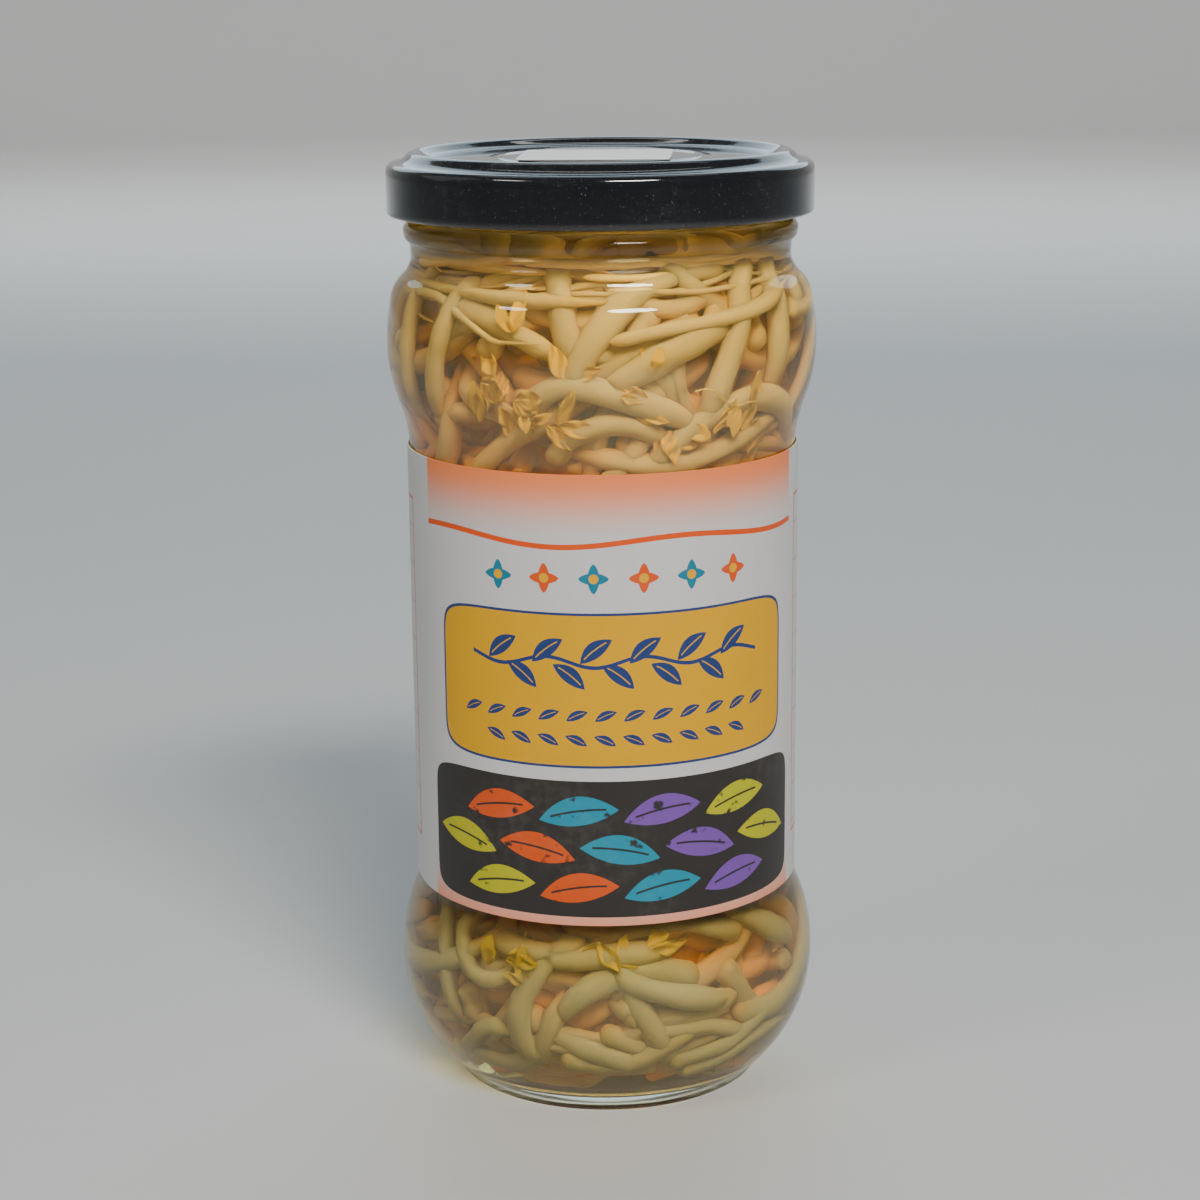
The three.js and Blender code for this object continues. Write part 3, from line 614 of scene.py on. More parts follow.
def level_lines(count, low, high, room, depth, long, seed):
    """Stems that lie level along the wall between two heights: each follows it at its own depth, and its
    height is its own plus a slope times the way plus one slow sine wave."""
    rng = np.random.default_rng(seed)
    k = np.arange(count)
    t = np.linspace(-0.5, 0.5, STATIONS)[None]
    height = low + (high - low) * ((k + 0.5) / count)[:, None]
    around = 2 * np.pi * ((k * GOLDEN) % 1)[:, None]
    length = rng.uniform(long / 2, long, (count, 1))
    slope = rng.normal(0, 7.0 / long, (count, 1))
    swing = rng.uniform(-1.6, 1.6, (count, 1))
    wave = swing * np.sin(FULL_WAVE * t + rng.uniform(0, FULL_WAVE, (count, 1)))
    z = np.clip(height + slope * length * t + wave, low - 2, high + 0.4)
    r = reach_at(z, room) - rng.uniform(0.0, depth, (count, 1))
    a = around + length * t / r
    return np.stack([r * np.cos(a), r * np.sin(a), z], -1)


# Sprouts: their meshes


def resampled(lines, shares):
    """Each line of points as a smooth line, read at the given shares of its count of spans, on straight
    lines between fine steps."""
    fine_steps = 8
    fine = np.stack([smoothed(line, fine_steps) for line in lines])
    at = shares * (fine.shape[1] - 1)
    low = np.clip(np.floor(at).astype(int), 0, fine.shape[1] - 2)
    part = (at - low)[None, :, None]
    return fine[:, low] * (1 - part) + fine[:, low + 1] * part


def cross_frames(lines):
    """Two directions across each line at each point, carried along it without twist: at each step the
    last direction is made square to the line again."""
    along = np.gradient(lines, axis=1)
    along /= np.linalg.norm(along, axis=2)[..., None] + 1e-12
    least = np.eye(3)[np.argmin(np.abs(along[:, 0]), axis=1)]
    side = np.cross(along[:, 0], least)
    sides = []
    for k in range(lines.shape[1]):
        side = side - (side * along[:, k]).sum(1)[:, None] * along[:, k]
        side /= np.linalg.norm(side, axis=1)[:, None]
        sides.append(side)
    side = np.stack(sides, axis=1)
    return side, np.cross(along, side)


def stems(lines, radii, around, oval=0.06):
    """Closed stems along many lines at once: at each point a ring whose radius is the stem's there times
    one plus a small two-lobed wave, and a single point at each end."""
    count, rows = radii.shape
    side, up = cross_frames(lines)
    a = 2 * np.pi * np.arange(around) / around
    turn = np.linspace(0, 2 * np.pi, count, endpoint=False)[:, None, None]
    r = radii[..., None] * (1 + oval * np.cos(2 * a + 3 * turn))
    sideways = side[:, :, None] * (r * np.cos(a))[..., None]
    upwards = up[:, :, None] * (r * np.sin(a))[..., None]
    ring = lines[:, :, None] + sideways + upwards
    ends = lines[:, [0, -1]] + (lines[:, [0, -1]] - lines[:, [1, -2]]) * 0.3
    each = rows * around + 2
    points = np.concatenate([ring.reshape(count, -1, 3), ends], axis=1).reshape(-1, 3)
    start = (np.arange(count) * each)[:, None, None]
    quads = tube_faces(rows, around)[None] + start
    col = np.arange(around)
    beside = (col + 1) % around
    top = (rows - 1) * around
    low = np.stack([beside, col, np.full(around, rows * around)], -1)[None] + start
    high = np.stack([top + col, top + beside, np.full(around, rows * around + 1)], -1)[None] + start
    return points, [quads.reshape(-1, 4), low.reshape(-1, 3), high.reshape(-1, 3)]


def spread(values, around):
    """A number for each ring of each stem, as a number for each of its points."""
    count = len(values)
    rings = np.repeat(values, around, axis=1)
    return np.concatenate([rings, values[:, [0, -1]]], axis=1).reshape(count, -1).ravel()


def towards_glass(lines):
    """The lines a little further out, since the real sprouts press against the glass, with their small
    kinks evened out by taking each point halfway to the middle of its neighbours, three times, and with
    both ends led inwards between the others, by the square of the way past the middle stretch."""
    out = lines.copy()
    for _ in range(3):
        out[:, 1:-1] = (out[:, :-2] + 2 * out[:, 1:-1] + out[:, 2:]) / 4
    share = np.linspace(0, 1, out.shape[1])
    dive = END_DIVE * np.clip((np.abs(share - 0.44) - 0.24) / 0.3, 0, 1.2) ** 2
    r = np.hypot(out[..., 0], out[..., 1])
    out[..., :2] *= (np.maximum(4, r * TOWARDS_GLASS - dive) / r)[..., None]
    return out


def sprout_bunch(name, lines, thickness, around, material, tone_seed):
    """A bunch of sprouts as one piece, with marks for the place along each and for its own tone. A
    sprout's radius is its thickness times the swollen, then even, then tapered shape along it, times one
    plus a small sine wave. The head is rounded by a square root."""
    shares = np.concatenate([[0, 0.006, 0.018, 0.035, 0.06, 0.09], np.linspace(0.13, 1, 22)])
    shape = np.sqrt(np.clip(shares / 0.045, 0, 1)) * np.interp(
        shares,
        [0, 0.045, 0.1, 0.15, 0.3, 0.52, 0.72, 0.8, 0.86, 0.93, 1],
        [1.08, 1.12, 1.06, 0.94, 0.98, 1.03, 0.97, 0.76, 0.42, 0.24, 0.12],
    )
    rng = np.random.default_rng(tone_seed)
    pitch = rng.uniform(14, 30, (len(lines), 1))
    wave = 1 + 0.05 * np.sin(shares[None] * pitch + rng.uniform(0, FULL_WAVE, (len(lines), 1)))
    line = resampled(lines, shares)
    radii = thickness[:, None] * np.maximum(0.04, shape[None]) * wave
    points, faces = stems(line, radii, around)
    tone = np.repeat(rng.uniform(0, 1, (len(lines), 1)), len(shares), axis=1)
    marks = {
        "along": spread(np.repeat(shares[None], len(lines), axis=0), around),
        "tone": spread(tone, around),
    }
    return make_piece(name, points, faces, material, marks=marks)


# Materials


class Tone:
    """A number that changes over a surface: the output of a node, with sums written as sums."""

    def __init__(self, tree, socket):
        """The output socket, and the tree that it is in."""
        self.tree, self.socket = tree, socket

    def _with(self, operation, *others):
        """A Math node with this tone as its first input, and tones or plain numbers after it."""
        node = self.tree.nodes.new("ShaderNodeMath")
        node.operation = operation
        for slot, value in zip(node.inputs, (self, *others)):
            if isinstance(value, Tone):
                self.tree.links.new(value.socket, slot)
            else:
                slot.default_value = value
        return Tone(self.tree, node.outputs[0])

    def __add__(self, other):
        """The sum."""
        return self._with("ADD", other)

    def __sub__(self, other):
        """The difference."""
        return self._with("SUBTRACT", other)

    def __mul__(self, other):
        """The product."""
        return self._with("MULTIPLY", other)

    def __truediv__(self, other):
        """The quotient."""
        return self._with("DIVIDE", other)

    def __abs__(self):
        """The size without its sign."""
        return self._with("ABSOLUTE")

    def least(self, other):
        """The smaller of the two."""
        return self._with("MINIMUM", other)

    def most(self, other):
        """The larger of the two."""
        return self._with("MAXIMUM", other)

    def below(self, other):
        """1 where this tone is smaller, 0 elsewhere."""
        return self._with("LESS_THAN", other)

    def power(self, other):
        """This tone to a power."""
        return self._with("POWER", other)

    def root(self):
        """The square root."""
        return self._with("SQRT")

    def sine(self):
        """The sine, of radians."""
        return self._with("SINE")

    def wrapped(self, size):
        """What is left over of whole sizes, from 0 to the size."""
        return self._with("WRAP", size, 0.0)

    def floor(self):
        """The whole number at or below."""
        return self._with("FLOOR")

    def modulo(self, size):
        """What is left over after division."""
        return self._with("MODULO", size)

    def ramp(self, start, end):
        """0 at start, 1 at end, smooth between."""
        node = self.tree.nodes.new("ShaderNodeMapRange")
        node.interpolation_type = "SMOOTHSTEP"
        self.tree.links.new(self.socket, node.inputs["Value"])
        node.inputs["From Min"].default_value = start
        node.inputs["From Max"].default_value = end
        return Tone(self.tree, node.outputs["Result"])


def feed(tree, value, socket):
    """Links a tone or an output to an input, or sets the input's plain value."""
    if isinstance(value, Tone):
        tree.links.new(value.socket, socket)
    elif isinstance(value, bpy.types.NodeSocket):
        tree.links.new(value, socket)
    else:
        socket.default_value = value


def mixed(tree, mask, under, over, blend="MIX"):
    """One colour under another, as far as the mask says, laid over it or multiplied into it."""
    node = tree.nodes.new("ShaderNodeMix")
    node.data_type, node.blend_type = "RGBA", blend
    feed(tree, mask, node.inputs[0])
    feed(tree, under, node.inputs[6])
    feed(tree, over, node.inputs[7])
    return node.outputs[2]


def object_place(tree):
    """The place in the object, in metres, as an output."""
    return tree.nodes.new("ShaderNodeTexCoord").outputs["Object"]


def noise(tree, place, scale, detail=2.0, roughness=0.5, distortion=0.0):
    """Cloudy noise as a tone."""
    node = tree.nodes.new("ShaderNodeTexNoise")
    feed(tree, place, node.inputs["Vector"])
    feed(tree, scale, node.inputs["Scale"])
    node.inputs["Detail"].default_value = detail
    node.inputs["Roughness"].default_value = roughness
    node.inputs["Distortion"].default_value = distortion
    return Tone(tree, node.outputs["Fac"])


def bump(tree, height, strength, distance):
    """A normal from a height."""
    node = tree.nodes.new("ShaderNodeBump")
    node.inputs["Strength"].default_value = strength
    node.inputs["Distance"].default_value = distance
    feed(tree, height, node.inputs["Height"])
    return node.outputs["Normal"]


def new_material(name):
    """A material with an empty node tree and its Principled shader."""
    material = bpy.data.materials.new(name)
    material.use_nodes = True
    tree = material.node_tree
    tree.nodes.clear()
    shader = tree.nodes.new("ShaderNodeBsdfPrincipled")
    output = tree.nodes.new("ShaderNodeOutputMaterial")
    tree.links.new(shader.outputs[0], output.inputs["Surface"])
    return material, tree, shader, output


def new_group(name, inputs, outputs):
    """An empty shader group with named inputs (name: starting value) and outputs (name: kind)."""
    tree = bpy.data.node_groups.new(name, "ShaderNodeTree")
    for label, value in inputs.items():
        kind = "NodeSocketColor" if isinstance(value, tuple) else "NodeSocketFloat"
        socket = tree.interface.new_socket(label, in_out="INPUT", socket_type=kind)
        socket.default_value = value
    for label, kind in outputs.items():
        tree.interface.new_socket(label, in_out="OUTPUT", socket_type=kind)
    return tree, tree.nodes.new("NodeGroupInput"), tree.nodes.new("NodeGroupOutput")


def placed(tree, group, **values):
    """The group in a material, with its own values."""
    node = tree.nodes.new("ShaderNodeGroup")
    node.node_tree = group
    for label, value in values.items():
        feed(tree, value, node.inputs[label.replace("_", " ")])
    return node


def handling_marks_group():
    """Finger marks and fine dust: soft cloudy patches, broken up by a finer noise."""
    tree, given, gives = new_group(
        "handling_marks",
        {"Size": 60.0, "Amount": 0.5},
        {"Smudge": "NodeSocketFloat", "Dust": "NodeSocketFloat"},
    )
    place = object_place(tree)
    size = Tone(tree, given.outputs["Size"])
    amount = Tone(tree, given.outputs["Amount"])
    patches = noise(tree, place, size, 3, 0.55, 0.6).ramp(0.48, 0.72)
    fine = noise(tree, place, size * 14.0, 2, 0.6).ramp(0.35, 0.75)
    specks = noise(tree, place, size * 55.0, 1, 0.5).ramp(0.7, 0.78)
    feed(tree, patches * fine * amount, gives.inputs["Smudge"])
    feed(tree, specks * amount, gives.inputs["Dust"])
    return tree


def paper_grain_group():
    """The fibres of coated paper: two stretched noises that cross."""
    tree, given, gives = new_group(
        "paper_grain",
        {"Size": 900.0},
        {"Height": "NodeSocketFloat", "Mottle": "NodeSocketFloat"},
    )
    place = object_place(tree)
    size = Tone(tree, given.outputs["Size"])
    fibres = noise(tree, place, size, 4, 0.65, 1.2)
    mottle = noise(tree, place, size * 0.16, 3, 0.5)
    feed(tree, fibres, gives.inputs["Height"])
    feed(tree, mottle, gives.inputs["Mottle"])
    return tree


def moist_skin_group():
    """A blanched sprout's skin. The colour goes from a pale stem to a warmer root and head, is cooler and
    darker in the lower window as painted shade, and deepens to amber by its distance from the wall of the
    cavity, as painted brine tint and shade. That wall is a quarter circle at the heel, upright above it, and
    drawn in at the shoulder."""
    tree, given, gives = new_group(
        "moist_skin",
        {
            "Along": 0.5,
            "Own tone": 0.5,
            "Stem": (0.8, 0.7, 0.45, 1.0),
            "Warm": (0.7, 0.5, 0.2, 1.0),
            "Deep": (0.4, 0.2, 0.06, 1.0),
        },
        {"Colour": "NodeSocketColor", "Height": "NodeSocketFloat", "Roughness": "NodeSocketFloat"},
    )
    place = object_place(tree)
    along = Tone(tree, given.outputs["Along"])
    own = Tone(tree, given.outputs["Own tone"])
    split = tree.nodes.new("ShaderNodeSeparateXYZ")
    tree.links.new(place, split.inputs[0])
    x, y = Tone(tree, split.outputs[0]), Tone(tree, split.outputs[1])
    out = (x * x + y * y).root()
    up = Tone(tree, split.outputs[2])
    low = ((up * -1.0 + LOWER_BULGE_Z / 1000) / (HEEL_R / 1000)).most(0.0).least(1.0)
    wall = (low * low * -1.0 + 1.0).root() * (HEEL_R / 1000) + (BULGE_R - WALL - HEEL_R) / 1000
    wall = wall - up.ramp(SHOULDER_Z / 1000 - 0.003, 0.137) * ((BULGE_R - WALL - MOUTH_R) / 1000)
    cloud = noise(tree, place, 190.0, 3, 0.6)
    strands = noise(tree, place, 900.0, 3, 0.6, 0.8)
    ends = along.ramp(0.62, 0.95).most(along.ramp(0.14, 0.0) * 0.7)
    warm = (ends * 0.75 + own * 0.35 + cloud * 0.5 - 0.28).most(0.0).least(1.0)
    # Painted brine tint and shade: the deeper from the wall, the more amber
    depth = (wall - out).ramp(PAINTED_AMBER_FROM / 1000, PAINTED_AMBER_TO / 1000)
    colour = mixed(tree, warm, given.outputs["Stem"], given.outputs["Warm"])
    # Painted shade: the lower window is multiplied darker and cooler
    colour = mixed(tree, up.ramp(PAINTED_SHADE_NONE_Z / 1000, PAINTED_SHADE_FULL_Z / 1000), colour, PAINTED_LOWER_SHADE, "MULTIPLY")
    colour = mixed(tree, depth * 0.95, colour, given.outputs["Deep"])
    feed(tree, colour, gives.inputs["Colour"])
    feed(tree, strands * 0.6 + cloud * 0.4, gives.inputs["Height"])
    feed(tree, cloud * 0.2 + 0.26, gives.inputs["Roughness"])
    return tree


def clear_material(name, colour, ior, roughness, lets_through, ripple=0.0, clear=1.0):
    """A clear body. Its shader bends the light that is seen, while a shadow ray goes straight through to
    what the body holds, in its own tint."""
    material, tree, shader, output = new_material(name)
    shader.inputs["Base Color"].default_value = colour
    shader.inputs["IOR"].default_value = ior
    shader.inputs["Transmission Weight"].default_value = clear
    shader.inputs["Roughness"].default_value = roughness
    if ripple:
        waves = noise(tree, object_place(tree), 45.0, 2, 0.4)
        feed(tree, bump(tree, waves, ripple, 0.0006), shader.inputs["Normal"])
    path = tree.nodes.new("ShaderNodeLightPath")
    through = tree.nodes.new("ShaderNodeBsdfTransparent")
    through.inputs["Color"].default_value = lets_through
    mix = tree.nodes.new("ShaderNodeMixShader")
    tree.links.new(path.outputs["Is Shadow Ray"], mix.inputs[0])
    tree.links.new(shader.outputs[0], mix.inputs[1])
    tree.links.new(through.outputs[0], mix.inputs[2])
    tree.links.new(mix.outputs[0], output.inputs["Surface"])
    return material


def lacquer_material(marks_group):
    """Black lacquer on steel: near-black under a clear gloss, with a faint orange peel and hand marks."""
    material, tree, shader, _ = new_material("black_lacquer")
    marks = placed(tree, marks_group, Size=70.0, Amount=0.8)
    smudge, dust = Tone(tree, marks.outputs["Smudge"]), Tone(tree, marks.outputs["Dust"])
    colour = mixed(tree, dust * 0.35 + smudge * 0.06, (0.008, 0.009, 0.011, 1), (0.32, 0.33, 0.35, 1))
    feed(tree, colour, shader.inputs["Base Color"])
    feed(tree, smudge * 0.22 + dust * 0.3 + 0.1, shader.inputs["Roughness"])
    peel = noise(tree, object_place(tree), 520.0, 2, 0.5)
    feed(tree, bump(tree, peel, 0.06, 0.0003), shader.inputs["Normal"])
    shader.inputs["Coat Weight"].default_value = 0.6
    shader.inputs["Coat Roughness"].default_value = 0.04
    return material


def sealing_material():
    """Soft cream compound, faintly mottled."""
    material, tree, shader, _ = new_material("sealing_compound")
    cloud = noise(tree, object_place(tree), 260.0, 3, 0.6)
    feed(tree, mixed(tree, cloud, (0.62, 0.56, 0.44, 1), (0.72, 0.67, 0.56, 1)), shader.inputs["Base Color"])
    feed(tree, cloud * 0.15 + 0.5, shader.inputs["Roughness"])
    feed(tree, bump(tree, cloud, 0.2, 0.0002), shader.inputs["Normal"])
    return material


def sticker_material(grain_group):
    """Plain white matt paper, a little mottled and creased."""
    material, tree, shader, _ = new_material("sticker_paper")
    grain = placed(tree, grain_group, Size=1100.0)
    mottle = Tone(tree, grain.outputs["Mottle"])
    creases = noise(tree, object_place(tree), 130.0, 2, 0.4, 1.5)
    height = Tone(tree, grain.outputs["Height"]) * 0.25 + creases
    colour = mixed(tree, mottle, (0.74, 0.75, 0.76, 1), (0.86, 0.86, 0.85, 1))
    feed(tree, colour, shader.inputs["Base Color"])
    feed(tree, mottle * 0.15 + 0.48, shader.inputs["Roughness"])
    feed(tree, bump(tree, height, 0.35, 0.0004), shader.inputs["Normal"])
    return material


def sprout_material(name, skin_group, stem, warm, deep, soft):
    """A sprout's flesh: moist skin over a body that light passes into, as far as soft says."""
    material, tree, shader, _ = new_material(name)
    along = tree.nodes.new("ShaderNodeAttribute")
    along.attribute_name = "along"
    tone = tree.nodes.new("ShaderNodeAttribute")
    tone.attribute_name = "tone"
    skin = placed(
        tree,
        skin_group,
        Along=along.outputs["Fac"],
        Own_tone=tone.outputs["Fac"],
        Stem=stem,
        Warm=warm,
        Deep=deep,
    )
    feed(tree, skin.outputs["Colour"], shader.inputs["Base Color"])
    feed(tree, skin.outputs["Roughness"], shader.inputs["Roughness"])
    feed(tree, bump(tree, skin.outputs["Height"], 0.08, 0.0003), shader.inputs["Normal"])
    shader.inputs["Subsurface Weight"].default_value = soft
    shader.inputs["Subsurface Radius"].default_value = (1.0, 0.8, 0.5)
    shader.inputs["Subsurface Scale"].default_value = 0.0025
    shader.inputs["IOR"].default_value = 1.12
    return material


def label_material(grain_group, marks_group):
    """The printed label. Its print is laid out on the paper in millimetres: across from the middle of the
    front and up from the lower edge."""
    material, tree, shader, _ = new_material("label_print")
    uv = tree.nodes.new("ShaderNodeUVMap")
    uv.uv_map = "print"
    split = tree.nodes.new("ShaderNodeSeparateXYZ")
    tree.links.new(uv.outputs[0], split.inputs[0])
    x, y = Tone(tree, split.outputs[0]), Tone(tree, split.outputs[1])
    high = LABEL_TOP_Z - LABEL_BOTTOM_Z
    around, x = x, x - PRINT_MIDDLE
    grain = placed(tree, grain_group, Size=800.0)
    mottle = Tone(tree, grain.outputs["Mottle"])
    white = mixed(tree, mottle, (0.6, 0.6, 0.595, 1), (0.66, 0.655, 0.645, 1))
    front = abs(x).below(PRINT_HALF)

    def close_to(value, middle, room):
        """1 where a value is nearer than the room to a middle."""
        return abs(value - middle).below(room)

    def rounded_box(cx, cy, rx, ry, power):
        """Below 1 inside a box with round corners: the sum of both shares of the way out, to a power."""
        return abs((x - cx) / rx).power(power) + abs((y - cy) / ry).power(power)

    def leaf_row(cy, pitch, half_long, half_wide, slant, shift, reach):
        """A row of slanted leaves: two arcs that meet in a point at both ends, with a thin vein."""
        cell = ((x + shift) / pitch).floor()
        beside = x + shift - (cell + 0.5) * pitch
        above = y - cy
        turn = math.radians(slant)
        u = beside * math.cos(turn) + above * math.sin(turn)
        v = above * math.cos(turn) - beside * math.sin(turn) + u * u * (0.12 / half_long)
        leaf = (abs(v / half_wide) + (u / half_long) * (u / half_long)).below(1.0)
        within_reach = abs((cell + 0.5) * pitch - shift).below(reach)
        vein = abs(v).below(half_wide * 0.07) * abs(u).below(half_long * 0.7)
        return leaf * within_reach, vein, cell

    # The peach fades at the top and at the foot of the front
    fade = y.ramp(high - 11.0, high - 0.5).most(y.ramp(7.0, -1.0) * 0.8)
    colour = mixed(tree, fade * front, white, PEACH)

    # A wavy orange rule under the upper fade
    crest = (x * 0.16).sine() * 0.7 + (high - 10.4)
    rule = abs(y - crest).below(0.42)
    colour = mixed(tree, rule * front, colour, ORANGE)

    # A row of small four-petalled blossoms
    cell = (x / BLOSSOM_PITCH).floor()
    across = x - (cell + 0.5) * BLOSSOM_PITCH
    upward = y - BLOSSOMS_Z
    flat_petals = abs(across / PETAL_LONG).power(1.6) + abs(upward / PETAL_WIDE).power(1.6)
    tall_petals = abs(across / PETAL_WIDE).power(1.6) + abs(upward / PETAL_LONG).power(1.6)
    petals = flat_petals.below(1.0).most(tall_petals.below(1.0))
    shown = abs((cell + 0.5) * BLOSSOM_PITCH).below(BLOSSOMS_REACH)
    odd = (cell + 40.0).modulo(2.0)
    petal_ink = mixed(tree, odd, (0.72, 0.09, 0.015, 1), (0.01, 0.2, 0.3, 1))
    colour = mixed(tree, petals * shown, colour, petal_ink)
    heart = (across * across + upward * upward).below(0.55)
    colour = mixed(tree, heart * shown, colour, (0.8, 0.4, 0.01, 1))

    # The yellow field with its dark blue edge, and in it a twig with leaves above two rows of small leaves
    wide, tall = YELLOW_HALF_WIDE, YELLOW_HALF_HIGH
    edge = rounded_box(0, YELLOW_Z, wide + YELLOW_EDGE, tall + YELLOW_EDGE, 9.0).below(1.0)
    colour = mixed(tree, edge, colour, NAVY)
    panel = rounded_box(0, YELLOW_Z, wide, tall, 9.0).below(1.0)
    gold = mixed(tree, mottle, (0.74, 0.37, 0.0, 1), (0.8, 0.41, 0.0, 1))
    colour = mixed(tree, panel, colour, gold)
    twig = close_to(y - (x * 0.42).sine() * 0.8, TWIG_Z, 0.3) * abs(x).below(24.0)
    colour = mixed(tree, twig, colour, NAVY)
    for row in TWIG_LEAVES:
        leaf, vein, _ = leaf_row(*row)
        colour = mixed(tree, leaf * panel, colour, mixed(tree, vein, NAVY, gold))

    # The charcoal field below it, and on it long leaves in four colours
    dark = rounded_box(0, DARK_Z, DARK_HALF_WIDE, DARK_HALF_HIGH, 10.0).below(1.0)
    charcoal = mixed(tree, mottle, (0.03, 0.027, 0.025, 1), (0.04, 0.036, 0.033, 1))
    colour = mixed(tree, dark, colour, charcoal)
    streak = noise(tree, object_place(tree), 380.0, 2, 0.6).ramp(0.3, 0.4)
    for order, (cy, slant) in enumerate(LONG_LEAVES):
        leaf, vein, cell = leaf_row(cy, 13.2, 6.3, 2.35, slant, 6.6 * order, 31)
        which = (cell + (40.0 + 3 * order)).modulo(4.0)
        leaves = LEAF_INKS[0]
        for step, tint in enumerate(LEAF_INKS[1:], start=1):
            leaves = mixed(tree, close_to(which, step, 0.5), leaves, tint)
        colour = mixed(tree, leaf * dark * streak * (vein * -1.0 + 1.0), colour, leaves)

    # At each side an empty ruled frame
    aside = abs(around) - SIDE_FRAME_AT
    frame_across, frame_up = abs(aside), abs(y - high / 2)
    framed = frame_across.below(FRAME_HALF_WIDE) * frame_up.below(FRAME_HALF_HIGH)
    inner = frame_across.below(FRAME_HALF_WIDE - FRAME_LINE) * frame_up.below(FRAME_HALF_HIGH - FRAME_LINE)
    lines = abs(y.wrapped(FRAME_ROWS) - FRAME_ROWS / 2).below(0.12) * inner * 0.6
    colour = mixed(tree, lines, colour, (0.25, 0.26, 0.28, 1))
    colour = mixed(tree, framed - inner, colour, (0.72, 0.12, 0.03, 1))

    marks = placed(tree, marks_group, Size=40.0, Amount=0.5)
    smudge = Tone(tree, marks.outputs["Smudge"])
    feed(tree, mixed(tree, smudge * 0.12, colour, (0.45, 0.42, 0.38, 1)), shader.inputs["Base Color"])
    feed(tree, mottle * 0.12 + smudge * 0.1 + 0.36, shader.inputs["Roughness"])
    feed(tree, bump(tree, grain.outputs["Height"], 0.08, 0.0003), shader.inputs["Normal"])
    shader.inputs["Specular IOR Level"].default_value = 0.22
    return material


def plain_material(name, colour, roughness):
    """The floor's even, matt finish."""
    material, tree, shader, _ = new_material(name)
    cloud = noise(tree, object_place(tree), 3.0, 2, 0.5)
    darker = tuple(0.97 * c for c in colour[:3]) + (1,)
    feed(tree, mixed(tree, cloud, darker, colour), shader.inputs["Base Color"])
    shader.inputs["Roughness"].default_value = roughness
    return material


# Pieces


def make_glass(material):
    """The blown jar: foot and base, outside, rim, cavity and floor in one turned line, with a thread
    ridge for each lug that climbs at the rate the cap rises."""
    push_up = [(0, PUSH_UP), (8, PUSH_UP - 0.35), (14, PUSH_UP - 1.2)]
    base = smoothed([*push_up, (FOOT_INNER_R - 1.2, 0.7), (FOOT_INNER_R, 0)], 6)
    wall = smoothed(jar_cavity(6, 10, 6)[1:], 1)
    throat = smoothed([(MOUTH_R, RIM_Z - 2), (MOUTH_R, 137), tuple(wall[0])], 6)[:-1]
    floor = smoothed([tuple(wall[-1]), (16, FLOOR_Z - 0.5), (8, FLOOR_Z - 0.15), (0, FLOOR_Z)], 6)[1:]
    outline = joined(base, jar_outside(), throat, wall, floor)
    shapes = [turned(outline)]
    pitch = RISE_TO_OPEN / TURN_TO_OPEN_DEG
    way = THREAD_END_DEG - THREAD_START_DEG

    def underside(share):
        """The thread's lower side: it climbs evenly."""
        return LUG_TOP_Z + THREAD_GAP + pitch * (THREAD_START_DEG + way * share)

    def crest(share):
        """The thread's radius: even, and then tapered to its end."""
        return THREAD_R - 1.4 * np.clip(share - 0.85, 0, 1) * 6

    section = (
        lambda share: (FINISH_R - 0.3, underside(share)),
        lambda share: (crest(share) - 0.4, underside(share)),
        lambda share: (crest(share), underside(share) + THREAD_HEIGHT * 0.35),
        lambda share: (crest(share), underside(share) + THREAD_HEIGHT * 0.65),
        lambda share: (crest(share) - 0.4, underside(share) + THREAD_HEIGHT),
        lambda share: (FINISH_R - 0.3, underside(share) + THREAD_HEIGHT),
    )
    for i in range(LUGS):
        lug = 360 / LUGS * (i + 0.5)
        shapes.append(bent_bar(lug + THREAD_START_DEG, lug + THREAD_END_DEG, section, 24))
    points, faces = together(shapes)
    piece = make_piece("glass_jar", points, faces, material)
    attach(piece, "jar")
    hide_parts("jar_glass")


def cap_face():
    """The outer face of the cap, from the top of its skirt over the shoulder and the bead into the sunk
    panel with its safety button."""
    top = CAP_TOP_Z
    upper = smoothed(
        [
            (CAP_R, top - 3.0),
            (CAP_R - 0.12, top - 2.4),
            (CAP_R - 0.4, top - 2.0),
            (CAP_R - 0.85, top - 1.72),
            (31.7, top - 1.5),
            (30.95, top - 1.15),
            (30.45, top - 0.7),
            (29.9, top - 0.2),
            (CAP_BEAD_R, top),
            (28.5, top - 0.18),
            (27.9, top - 0.62),
            (27.3, PANEL_Z + 0.18),
            (26.4, PANEL_Z),
        ],
        4,
    )
    button = smoothed(
        [
            (BUTTON_R + 1.4, PANEL_Z),
            (BUTTON_R + 0.5, PANEL_Z + 0.12),
            (BUTTON_R, PANEL_Z + 0.26),
            (BUTTON_R - 0.5, PANEL_Z + 0.2),
            (BUTTON_R - 1.4, PANEL_Z + 0.02),
            (BUTTON_R - 4, PANEL_Z - 0.06),
        ],
        4,
    )
    flat = np.stack([np.linspace(25.5, BUTTON_R + 2.2, 6), np.full(6, PANEL_Z)], 1)
    middle = smoothed([(8, PANEL_Z - 0.12), (3, PANEL_Z - 0.15), (0, PANEL_Z - 0.15)], 4)
    return joined(upper, flat, button, middle)


